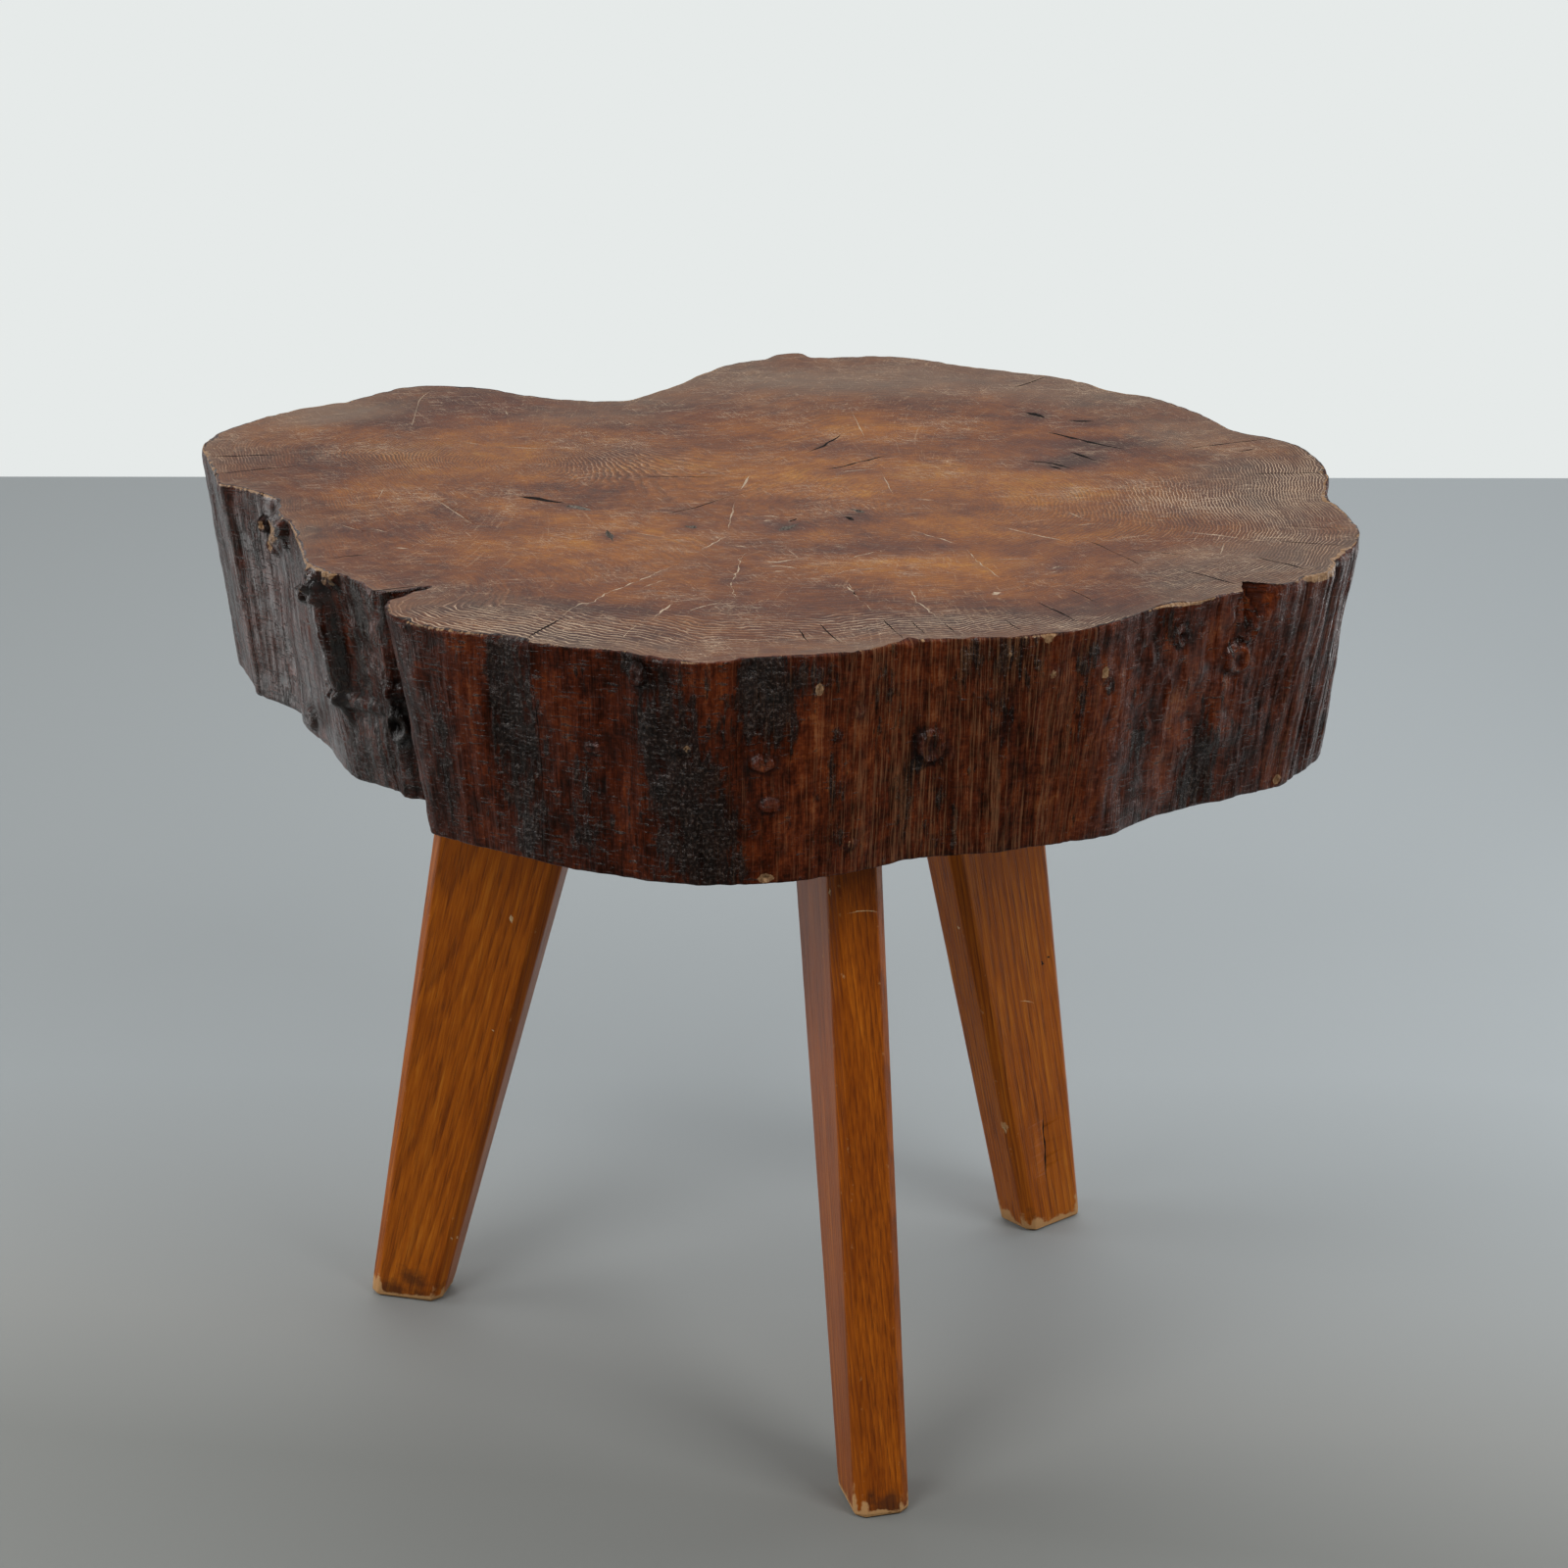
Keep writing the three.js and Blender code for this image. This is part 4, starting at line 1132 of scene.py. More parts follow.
TOP_GROOVES = (
    # Open cracks round the knots and at the slit
    strokes(Slot.CRACK, 4.4, 11.0, ((529, 506.8), (548, 509), (564, 511.6), (577, 513.6)))
    + strokes(Slot.HOLLOW, 6.4, 3.0, ((579.5, 516), (590, 518), (602, 520.5)), blunt=0.5)
    + strokes(Slot.HOLLOW, 3.2, 2.0, ((619, 541), (622, 546), (625, 553)))
    + strokes(Slot.HOLLOW, 5.0, 3.0, ((699, 537), (711, 538.2)),
              ((794, 541), (803, 539), (814, 534.5)), ((868, 519.5), (883, 523)), blunt=0.4)
    + strokes(Slot.CRACK, 4.0, 8.0, ((1046, 421), (1056, 423), (1067, 426.5)))
    + strokes(Slot.CRACK, 2.6, 6.0,
              ((1090, 429), (1102, 430), (1116, 430)),
              ((1068, 441), (1085, 444.5), (1104, 449), (1122, 453.5), (1147, 458.5)),
              ((1091, 461), (1104, 464.5), (1119, 470.5)),
              ((1048, 470.5), (1062, 471), (1078, 473.5), (1096, 479)),
              ((1071, 475.8), (1084, 478.6)))
    + strokes(Slot.CRACK, 3.2, 4.0,
              ((862, 527), (872, 531)), ((804, 532.5), (813.5, 529)))
    # Drying checks that run in from the rim, and dark seams
    + strokes(Slot.CRACK, 1.3, 5.0,
              ((210, 466), (240, 465.3), (292, 463.5)), ((216, 484), (250, 480.5), (303, 475.5)),
              ((1034, 396), (1050, 390.5), (1070, 383.8)),
              ((1211, 457.7), (1250, 453), (1280, 449.3), (1303, 447)),
              ((1275, 483), (1310, 482.8), (1353, 483)),
              ((1264, 461), (1281, 457.5)),
              ((1280, 568), (1305, 573.8), (1338, 582)),
              ((1207, 582.2), (1235, 588.5), (1262, 596.5)),
              ((535, 652.5), (556, 640), (575, 630)),
              ((1058, 614), (1078, 623.5), (1100, 634.5)),
              ((331, 570.6), (350, 568), (374, 566)),
              ((372, 604), (400, 600.8), (431, 598)))
    + strokes(Slot.CRACK, 0.9, 3.0,
              ((1306, 536.3), (1345, 538), (1383, 540)), ((1300, 552), (1340, 554.5), (1374, 557)),
              ((1105, 549.6), (1125, 558), (1145, 567), (1166, 578)),
              ((1151, 560.8), (1180, 563.5), (1211, 567)),
              ((898, 629), (912, 643), (923, 652.5)), ((962, 634.6), (974, 645)),
              ((836, 636), (848, 648), (859, 658)), ((813, 640), (826, 657)),
              ((1023, 631), (1045, 645.5)), ((1091, 601), (1120, 615)),
              ((930, 633.5), (944, 647)), ((647, 486), (690, 486.4), (735, 486.8)),
              ((673, 525.7), (710, 518), (740, 508), (765, 501.2)))
    + strokes(Slot.CRACK, 1.7, 2.0,
              ((842, 479), (862, 475.5), (885, 469.5), (910, 463.7)),
              ((822, 462.7), (840, 455), (859, 443.3)))
    # Crazed lacquer and scratches, pale in the dark finish
    + strokes(Slot.BARE, 4.4, 0.35, ((1012, 606), (1017, 605.3), (1022, 605)))
    + strokes(Slot.BARE, 2.6, 0.3, ((1271, 494), (1272.5, 495)), ((1273, 498.3), (1274.5, 499.4)))
    + strokes(Slot.BARE, 1.3, 0.2,
              ((773, 527.5), (784, 525.8), (796, 528)), ((778, 531.5), (790, 530.6)),
              ((776, 572), (790, 574), (812, 571)), ((780, 578), (796, 577.2), (814, 580)),
              ((788, 583.5), (801, 582.4)), ((1070, 580.5), (1081, 578.5)),
              ((1071, 584.5), (1079, 583)))
    + strokes(Slot.BARE, 1.0, 0.2,
              ((694, 574.7), (676, 582), (659, 589.5), (640, 597), (620, 605), (602, 616),
               (592, 616), (576, 626), (561, 637)),
              ((680, 591), (664, 597), (651, 601.5)),
              ((701, 609.4), (690, 613), (680, 619.6), (668, 630), (657, 639)),
              ((650, 637), (640, 645), (627, 656)),
              ((745, 545), (730, 553), (712, 562.5)), ((741, 556.3), (767, 558.4)),
              ((765, 562), (754, 570.5), (755, 579), (745, 596), (752, 613)),
              ((741, 614.5), (720, 617.5), (702, 624.5)),
              ((922, 538), (940, 544), (960, 550), (980, 556)),
              ((984, 558), (998, 573), (1012, 584), (1026, 593)),
              ((864.5, 594.5), (874, 609), (892, 624)), ((926.5, 599), (936, 614), (958, 632)),
              ((826.5, 592.2), (848, 586), (871, 581), (892, 579)),
              ((866, 571), (880, 565.5), (895, 562.7)), ((864, 596.5), (873, 607)),
              step=3.0, crooked=0.75, even=0.15)
    + strokes(Slot.BARE, 1.15, 0.24,
              ((750, 511.5), (747, 524), (743, 540)), ((765, 484.5), (760, 493), (755, 500.5)),
              ((402, 558.2), (417, 560.2)), ((713.5, 484), (721, 481.6)),
              ((937, 509.2), (953, 510.4)), ((1088, 521.8), (1096, 525.5), (1106, 529.2)),
              ((1096, 536), (1118, 534.4)), ((1210, 542.4), (1238, 545.5), (1269, 549.5)))
    + strokes(Slot.BARE, 0.75, 0.17,
              ((443, 508.5), (462, 521), (483, 535)), ((473, 451.2), (496, 454.4)),
              ((508, 455.2), (530, 456.8), (558, 458)), ((378, 539), (396, 543.5)),
              ((343, 534), (369, 542)), ((392, 498), (385, 511)),
              ((641, 542), (672, 547.5), (705, 552.7)), ((941, 503.7), (956, 498.4)),
              ((854, 482), (893, 478)), ((898, 480), (905, 492), (911, 505)),
              ((1089, 508.2), (1115, 507.6)), ((1010, 570.4), (1063, 570)),
              ((1020, 537), (1055, 545.5), (1094, 553.5)),
              ((1249, 553.5), (1245, 568)), ((1136, 499.6), (1155, 493.6)),
              ((1128, 511.8), (1137, 513.3)), ((1178, 530.8), (1192, 530.2)),
              ((440, 397.5), (428, 408), (420, 436)), ((868, 418), (875, 432), (883, 447)),
              ((655, 421), (690, 418.5), (712, 416.5)), ((635, 434.5), (648, 431.5)),
              ((515, 418), (518, 424)), ((1350, 536), (1368, 531)), ((1368, 548.5), (1378, 547))))

EDGE_GROOVES = (
    strokes(Slot.CRACK, 0.6, 3.0,
            ((536, 664), (543, 700), (549, 735), (552, 780), (553, 830), (554, 872)),
            ((967, 655), (966, 690), (963, 730))))


@dataclass
class TrunkSlab:
    """The table's top: a slice of trunk, closed all round, with its cracks and knots cut in.

    Rows count in the table of the rim, hearts are pixels, and lengths are in millimetres.
    """

    view: PhotoView
    node: Object
    name: str = "slab_live_edge"
    width: float = 654.0
    depth: float = 513.0
    top: float = 520.0
    thickness: float = 133.0
    columns: int = 1180
    rows_on_side: int = 68
    corner: float = 3.4
    hidden_rows: tuple[float, float] = (4.0, 36.0)
    hidden_share: float = 0.45
    far_rows: tuple[float, float] = (1.0, 37.0)
    far_marks: int = 46
    direction_reach: float = 29.0
    top_pitch: float = 8.0
    underside_pitch: float = 20.0
    hearts: Pixels = ((530.0, 470.0), (960.0, 518.0))
    heart_blend: float = 28.0
    ray_reach: float = 150.0
    knot_relief: float = 1.4
    chip_shares: tuple[float, float] = (0.3915, -0.291)
    chip_rough: float = 0.7
    skin_reach: float = 1.8
    sharp_from: float = 48.0
    seed: int = 7
    edge_seed: int = 900
    girth: float = field(init=False)
    heights: np.ndarray = field(init=False)
    pixels: np.ndarray = field(init=False)
    grid: np.ndarray = field(init=False)
    tone: np.ndarray = field(init=False)
    along: np.ndarray = field(init=False)
    inward: np.ndarray = field(init=False)
    row: np.ndarray = field(init=False)
    state: np.ndarray = field(init=False)

    @property
    def underside(self) -> float:
        """Height of the slab's underside."""
        return self.top - self.thickness

    def rim(self) -> np.ndarray:
        """Runs a smooth closed curve through the rim's table.

        The columns stand wider apart on the side that the photograph doesn't show.

        Returns:
            One row for each column of the side: x, y and draw-in in millimetres, its place in
            the table, and the direction in which the rim runs there.
        """
        scale = np.array([self.width, self.depth, self.thickness])
        corners = np.array(RIM_SHARES) * scale
        count = len(corners)
        dense, rows = [], []
        # Between two corners runs a centripetal spline
        share = np.linspace(0.0, 1.0, 40, endpoint=False)[:, None]
        for index in range(count):
            p0, p1, p2, p3 = (corners[(index + k) % count] for k in (-1, 0, 1, 2))
            t01, t12, t23 = (np.linalg.norm(b - a) ** 0.5
                             for a, b in ((p0, p1), (p1, p2), (p2, p3)))
            m1 = t12 * ((p1 - p0) / t01 - (p2 - p0) / (t01 + t12) + (p2 - p1) / t12)
            m2 = t12 * ((p2 - p1) / t12 - (p3 - p1) / (t12 + t23) + (p3 - p2) / t23)
            dense.append(p1 + m1 * share + (3 * (p2 - p1) - 2 * m1 - m2) * share ** 2
                         + (2 * (p1 - p2) + m1 + m2) * share ** 3)
            rows.append(index + share[:, 0])
        points = np.vstack(dense + [dense[0][:1]])
        row = np.r_[np.concatenate(rows), count]
        length = np.r_[0.0, np.cumsum(np.linalg.norm(np.diff(points, axis=0), axis=1))]
        self.girth = float(length[-1])
        hidden = (row[1:] > self.hidden_rows[0]) & (row[1:] < self.hidden_rows[1])
        crowd = np.r_[0.0, np.cumsum(np.diff(length) * np.where(hidden, self.hidden_share, 1.0))]
        even = np.linspace(0.0, crowd[-1], self.columns, endpoint=False)
        self.along = at = np.interp(even, crowd, length)
        ends = [np.column_stack([np.interp((at + reach) % self.girth, length, points[:, k])
                                 for k in range(2)])
                for reach in (self.direction_reach, -self.direction_reach)]
        return np.column_stack([np.interp(at, length, points[:, k]) for k in range(3)]
                               + [np.interp(at, length, row), ends[0] - ends[1]])

    def noise(self, across: int, up: int, seed: int, sway: float | np.ndarray = 0.0
              ) -> np.ndarray:
        """Smooth noise over the side, closed all round it.

        Args:
            across: Number of grains round the rim.
            up: Number of grains from the underside to the top.
            seed: Seed of the noise.
            sway: How far its grains wander sideways on their way up, in millimetres.

        Returns:
            A value from -1 to 1 for each point of the side's grid.
        """
        table = np.random.default_rng(self.seed * 1000 + seed).uniform(-1, 1, (up + 2, across))
        u = np.tile(self.along / self.girth, (len(self.heights), 1))
        # The wander is a broad noise of its own
        if np.any(sway):
            u = u + self.noise(26, 3, seed + 500) * sway / self.girth
        u = u % 1.0 * across
        v = self.heights[:, None] / self.thickness * up
        u0, v0 = u.astype(int) % across, np.clip(v.astype(int), 0, up)
        u1, fu, fv = (u0 + 1) % across, u - np.floor(u), v - v0
        fu, fv = fu * fu * (3 - 2 * fu), fv * fv * (3 - 2 * fv)
        low = table[v0, u0] * (1 - fu) + table[v0, u1] * fu
        high = table[v0 + 1, u0] * (1 - fu) + table[v0 + 1, u1] * fu
        return low * (1 - fv) + high * fv

    def levels(self) -> tuple[np.ndarray, np.ndarray]:
        """Sets the heights of the side's rings, with the rims eased and the top one worn.

        Returns:
            Height over the underside and ease inwards at each point of the grid.
        """
        low, high = np.array(EASE_BELOW), np.array(EASE_ABOVE)
        middle = np.linspace(self.corner, self.thickness - self.corner, self.rows_on_side)
        self.heights = np.r_[low[:, 0], middle, self.thickness + high[:, 0]]
        ease = np.r_[low[:, 1], np.zeros(self.rows_on_side), high[:, 1]]
        height = np.repeat(self.heights[:, None], self.columns, 1)
        wear = 0.8 + 0.5 * self.noise(420, 1, 1) + 2.2 * np.maximum(self.noise(130, 1, 2), 0) ** 3
        wear[:] = wear[-1]
        # Only the rings above the middle ones are worn
        is_top = height > self.thickness - 3.0
        height = np.where(is_top, self.thickness - (self.thickness - height) * wear, height)
        return height, ease[:, None] * wear

    def flutes(self, deep: np.ndarray, lumpy: np.ndarray, crooked: np.ndarray
               ) -> tuple[np.ndarray, np.ndarray]:
        """Draws the flutes, swells and lumps of the side.

        Args:
            deep: Depth of the flutes.
            lumpy: Depth of the lumps.
            crooked: How far the flutes wander, 0 to 1.

        Returns:
            The grooves between the flutes, and how far the side stands out in millimetres.
        """
        grooves = sum(share * (1 - np.abs(self.noise(across, 1, seed, 7.0 * crooked))) ** sharp
                      for across, seed, share, sharp in FLUTE_SIZES)
        grooves -= grooves.mean()
        swell = 1.3 * self.noise(46, 2, 5) + 0.8 * self.noise(100, 4, 6)
        swell *= 0.6 + 0.3 * deep * crooked
        lumps = 0.9 * self.noise(130, 8, 12) + 0.6 * self.noise(250, 16, 13)
        foot = np.interp(self.heights, (0.0, 18.0), (0.4, 1.0))[:, None]
        return grooves, (swell - deep * grooves * 0.9 + lumps * lumpy) * foot

    def lay_out(self) -> None:
        """Works out the side's grid of points, with its flutes, crust and knots, and its tone."""
        rim = self.rim()
        xy, draw_in, self.row = rim[:, :2], rim[:, 2], rim[:, 3]
        self.inward = np.column_stack([-rim[:, 5], rim[:, 4]])
        self.inward /= np.linalg.norm(self.inward, axis=1)[:, None]
        height, ease = self.levels()
        deep, crust, gloss, dry, rim_wear, lumpy, straight = (
            np.interp(self.row, *np.array(table).T) * np.ones_like(height)
            for table in (FLUTES_BY_ROW, CRUST_BY_ROW, GLOSS_BY_ROW, DRY_BY_ROW, RIM_WEAR_BY_ROW,
                          LUMPS_BY_ROW, STRAIGHT_BY_ROW))
        grooves, out = self.flutes(deep, lumpy, 1 - straight)

        self.grid = np.empty((*height.shape, 3))
        inset = draw_in * (1 - self.heights[:, None] / self.thickness) + ease
        self.grid[..., :2] = xy + self.inward * inset[..., None]
        self.grid[..., 2] = self.underside + height
        self.pixels = self.view.project(self.grid)
        towards_camera = self.view.place()[:2] - self.grid[..., :2]
        self.pixels[(towards_camera * -self.inward).sum(-1) <= 0] = OUT_OF_SIGHT

        tone = np.zeros((*height.shape, 4))
        # Painted shade in the grooves between the flutes
        tone[..., Tone.GROOVE_SHADE_AND_RINGS] = np.clip((grooves * (0.3 + deep) - 0.5) * 0.4, 0, 0.7)
        below_rim = (self.thickness - height) / (2.0 * np.clip(rim_wear, 1, 3))
        patchy = 0.62 + 0.4 * self.noise(60, 1, 14)[-1]
        tone[..., Tone.PALE] = np.clip(1.25 - below_rim, 0, 1) * rim_wear * patchy
        for channel, spots in ((Tone.DARK, BLACK_STAINS), (Tone.WARM, WARM_STREAKS)):
            for across, down, wide, tall, amount in spots:
                tone[..., channel] += amount * self.spread((across, down), wide, tall)
        self.far_side_marks(tone)
        for knot in KNOTS:
            out += self.knot_shape(knot, tone, crust, gloss)
        rough = (0.6 * self.noise(300, 22, 8, 3.0) + 0.4 * self.noise(560, 40, 9)
                 + 0.6 * self.noise(150, 10, 10, 6.0))
        out += rough * crust
        tone[..., Tone.DARK] += 0.3 * np.clip(crust - 1.0, 0, 1)
        # Painted shade in the hollows of the crust
        tone[..., Tone.GROOVE_SHADE_AND_RINGS] += np.clip(-rough * crust * 0.4, 0, 0.8)

        # Near the top the side keeps to the rim, apart from its crust
        fade = np.clip((self.thickness - self.heights) / 5.0, 0.25, 1)[:, None]
        fade = np.maximum(fade, np.clip(crust / 2.5, 0, 1))
        self.grid[..., :2] -= self.inward * (out * fade)[..., None]
        self.fit()
        tone[..., Tone.DARK] = 1.25 * (1 - np.exp(-tone[..., Tone.DARK]))
        self.tone = np.clip(tone, 0, 2)
        self.state = np.stack([np.clip(gloss, 0, 1.2), dry, crust], -1)

    def fit(self) -> None:
        """Stretches the grid so that its top ring spans the solid's width and depth."""
        low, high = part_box(self.node.name)
        for axis in (0, 1):
            least, most = self.grid[..., axis].min(), self.grid[..., axis].max()
            scale = (high[axis] - low[axis]) / MM / (most - least)
            centre = (high[axis] + low[axis]) / 2 / MM
            self.grid[..., axis] = (self.grid[..., axis] - (most + least) / 2) * scale + centre

    def locate(self, pixel: tuple[float, float]) -> tuple[int, int]:
        """Finds the level and the column of the side that a pixel shows."""
        away = ((self.pixels - np.array(pixel)) ** 2).sum(-1)
        return np.unravel_index(int(away.argmin()), away.shape)

    def spread(self, pixel: tuple[float, float], wide: float, tall: float) -> np.ndarray:
        """A soft spot on the side, 1 at its middle.

        Args:
            pixel: Where the photograph shows its middle.
            wide: Half its width in millimetres.
            tall: Half its height in millimetres.

        Returns:
            The spot's value at each point of the grid.
        """
        level, column = self.locate(pixel)
        return self.spot(self.along[column], self.heights[level], wide, tall)

    def spot(self, along: float, height: float, wide: float, tall: float) -> np.ndarray:
        """A soft spot at a place along the rim and a height over the underside."""
        return np.exp(-self.distance(along, height, wide, tall) ** 2)

    def distance(self, along: float, height: float, wide: float, tall: float) -> np.ndarray:
        """How far each point of the side is from a place, in half widths and half heights."""
        gap = np.abs(self.along - along)
        gap = np.minimum(gap, self.girth - gap)
        return np.hypot(gap[None, :] / wide, (self.heights[:, None] - height) / tall)

    def knot_shape(self, knot: Knot, tone: np.ndarray, crust: np.ndarray, gloss: np.ndarray
                   ) -> np.ndarray:
        """Adds a knot's colour to the tone, its roughness to the crust and its shine to the gloss.

        Args:
            knot: The knot.
            tone: The side's tone, which gains the knot's.
            crust: The crust's depth, which gains the knot's.
            gloss: The gloss of the lacquer, which pools on the knot.

        Returns:
            How far the knot stands out at each point of the grid.
        """
        level, column = self.locate(knot.pixel)
        away = self.distance(self.along[column], self.heights[level], knot.wide, knot.tall)
        core = np.exp(-away ** 3)
        tone[..., Tone.WARM] += knot.glow * core
        tone[..., Tone.PALE] += knot.pale * 1.25 * np.exp(-(away / 0.9) ** 4)
        tone[..., Tone.DARK] += knot.dark * np.exp(-((away - 0.9) / 0.6) ** 2)
        crease = np.exp(-((away - 1.2) / 0.22) ** 2)
        # Painted shade in the knot's crease and in its pit
        tone[..., Tone.GROOVE_SHADE_AND_RINGS] += (0.1 * min(knot.rise, 3.4) + 0.1 * knot.ring) * crease
        tone[..., Tone.GROOVE_SHADE_AND_RINGS] += 0.25 * knot.pit * np.exp(-(away / 0.42) ** 2)
        around = np.exp(-(away / 1.2) ** 4)
        gloss *= 1 - min(1.0, 1.6 * knot.pale) * around
        gloss += (0.2 * min(knot.rise, 1.5) + 0.2 * min(knot.gnarl, 1.0)) * around
        crust += knot.gnarl * np.exp(-away ** 4)
        lip = knot.ring * np.exp(-((away - 0.85) / 0.2) ** 2)
        shape = knot.rise * (core - 0.2 * crease) + lip - knot.pit * np.exp(-(away / 0.45) ** 2)
        return self.knot_relief * shape

    def far_side_marks(self, tone: np.ndarray) -> None:
        """Scatters stains and streaks over the side that the photograph doesn't show.

        Args:
            tone: The side's tone, which gains the marks.
        """
        rng = np.random.default_rng(self.seed + 40)
        first, last = self.far_rows
        hidden = np.flatnonzero((self.row > first) & (self.row < last))
        for _ in range(self.far_marks):
            column = hidden[rng.integers(len(hidden))]
            place = self.along[column], rng.uniform(0, self.thickness)
            wide, tall = rng.uniform(6, 18), rng.uniform(18, 60)
            channel = Tone.DARK if rng.random() < 0.5 else Tone.WARM
            tone[..., channel] += rng.uniform(0.5, 1.0) * self.spot(*place, wide, tall)

    def shell(self) -> BMesh:
        """Draws the slab's closed skin ring by ring from the underside to the top.

        Returns:
            The skin in triangles, with the slots of its faces set.
        """
        skin = bmesh.new()
        number = skin.verts.layers.int.new("column")
        ring = bmesh.ops.create_circle(skin, cap_ends=False, segments=self.columns, radius=1.0)
        for index, vert in enumerate(ring["verts"]):
            vert[number] = index
            vert.co = self.grid[0, index] * MM
        lowest = edges = list(skin.edges)
        for level in range(1, len(self.heights)):
            ring, edges = extrude(skin, edges)
            for vert in ring:
                vert.co = self.grid[level, vert[number]] * MM
        for rim, slot, pitch in ((edges, Slot.TOP, self.top_pitch),
                                 (lowest, Slot.UNDERSIDE, self.underside_pitch)):
            cap = bmesh.ops.edgeloop_fill(skin, edges=rim)["faces"]
            for face in self.squared(skin, cap, pitch):
                face.material_index = slot
        bmesh.ops.recalc_face_normals(skin, faces=skin.faces)
        bmesh.ops.triangulate(skin, faces=skin.faces, quad_method="SHORT_EDGE",
                              ngon_method="EAR_CLIP")
        return skin

    def squared(self, skin: BMesh, faces: list[BMFace],
                pitch: float) -> list[BMFace]:
        """Cuts a flat cap into squares, so that its attributes can vary over it.

        Args:
            skin: The mesh that holds the cap.
            faces: The cap.
            pitch: Side of a square in millimetres.

        Returns:
            The cap's faces after the cuts.
        """
        geometry = [*faces, *{edge for face in faces for edge in face.edges},
                    *{vert for face in faces for vert in face.verts}]
        spans = ((self.width, Vector((1, 0, 0))), (self.depth, Vector((0, 1, 0))))
        for span, across in spans:
            for place in np.arange(-span / 2 + pitch / 2, span / 2, pitch):
                geometry = bmesh.ops.bisect_plane(
                    skin, geom=geometry, dist=ON_PLANE, plane_no=across,
                    plane_co=across * float(place) * MM)["geom"]
        return [item for item in geometry if isinstance(item, BMFace)]

    def cutters(self) -> BMesh:
        """Makes the wedges and the chip's block that are cut out of the skin."""
        blades = self.chip()
        up = np.array(UP)
        for index, groove in enumerate(TOP_GROOVES):
            path = [self.view.drop(across, down, self.top) for across, down in groove.pixels]
            groove.cut(blades, path, [up] * len(path), self.seed + index)
        for index, groove in enumerate(EDGE_GROOVES):
            spots = [self.locate(pixel) for pixel in groove.pixels]
            outs = [np.array([*-self.inward[column], 0.0]) for _, column in spots]
            path = [self.grid[spot] for spot in spots]
            groove.cut(blades, path, outs, self.edge_seed + index)
        return blades

    def chip(self) -> BMesh:
        """Makes the block of the flake that is broken out of the rim at the right front.

        Returns:
            A mesh that holds the block alone.
        """
        blades = bmesh.new()
        across, deep = self.chip_shares
        corner = np.array([across * self.width, deep * self.depth, self.top])
        bmesh.ops.create_cube(blades, size=2.0)
        bmesh.ops.subdivide_edges(blades, edges=blades.edges, cuts=7, use_grid_fill=True)
        rng = np.random.default_rng(self.seed + 60)
        for vert in sorted(blades.verts, key=lambda v: tuple(round(c, 4) for c in v.co)):
            spot = np.zeros(3)
            for signs, place in CHIP_CORNERS.items():
                weight = np.prod([(1 + s * c) / 2 for s, c in zip(signs, vert.co)])
                spot += weight * np.array(place)
            spot += rng.uniform(-self.chip_rough, self.chip_rough, 3)
            vert.co = (spot + corner) * MM
        return blades

    def mark(self, mesh: Mesh) -> None:
        """Writes the attributes that the finishes read: tone, growth, rays and the edge's map.

        Args:
            mesh: The carved slab.
        """
        spots = read(mesh.vertices, "co", width=3) / MM
        skin = self.grid.reshape(-1, 3)
        tree = KDTree(len(skin))
        for index, point in enumerate(skin):
            tree.insert(point, index)
        tree.balance()
        nearest = np.array([tree.find(point)[1] for point in spots])
        tone, state = (part.reshape(len(skin), -1)[nearest] for part in (self.tone, self.state))
        # Points off the skin, on the walls of cracks and of the chip, are darker, a painted shade,
        # and neither bared nor glossy
        off = np.linalg.norm(spots - skin[nearest], axis=1) > self.skin_reach
        tone[off, Tone.PALE] *= 0.15
        tone[off, Tone.DARK] += 0.2
        state[off, 0] = 0.0
        level = (spots[:, 2] > self.top - 0.02) | (spots[:, 2] < self.underside + 0.02)
        growth, rays, level_tone = self.end_grain(spots)
        tone[level] = level_tone[level]
        write(mesh, "tone", "FLOAT_COLOR", tone)
        write(mesh, "growth", "FLOAT", growth)
        write(mesh, "rays", "FLOAT_VECTOR", rays * MM)
        write(mesh, "state", "FLOAT_VECTOR", state)
        # The edge's map runs along the rim and up; a face across the rim's start goes on past
        # its end
        loops = read(mesh.loops, "vertex_index", int)
        starts = read(mesh.polygons, "loop_start", int)
        along = self.along[nearest % self.columns][loops]
        most = np.repeat(np.maximum.reduceat(along, starts), np.diff(np.r_[starts, len(loops)]))
        along = along + (most - along > self.girth / 2) * self.girth
        uv = np.column_stack([along, spots[loops, 2]]) * MM
        mesh.uv_layers.new(name="edge").data.foreach_set("uv", uv.astype(np.float32).ravel())

    def end_grain(self, spots: np.ndarray) -> tuple[np.ndarray, np.ndarray, np.ndarray]:
        """Works out how the wood grew at points of the top and the underside.

        Args:
            spots: Points in millimetres.

        Returns:
            The growth, 0 at a heart and 1 at the rim; a vector whose x and y change only along
            the rings and whose z says how close they lie; and the tone.
        """
        place = spots[:, :2]
        rim = self.grid[-2, :, :2]
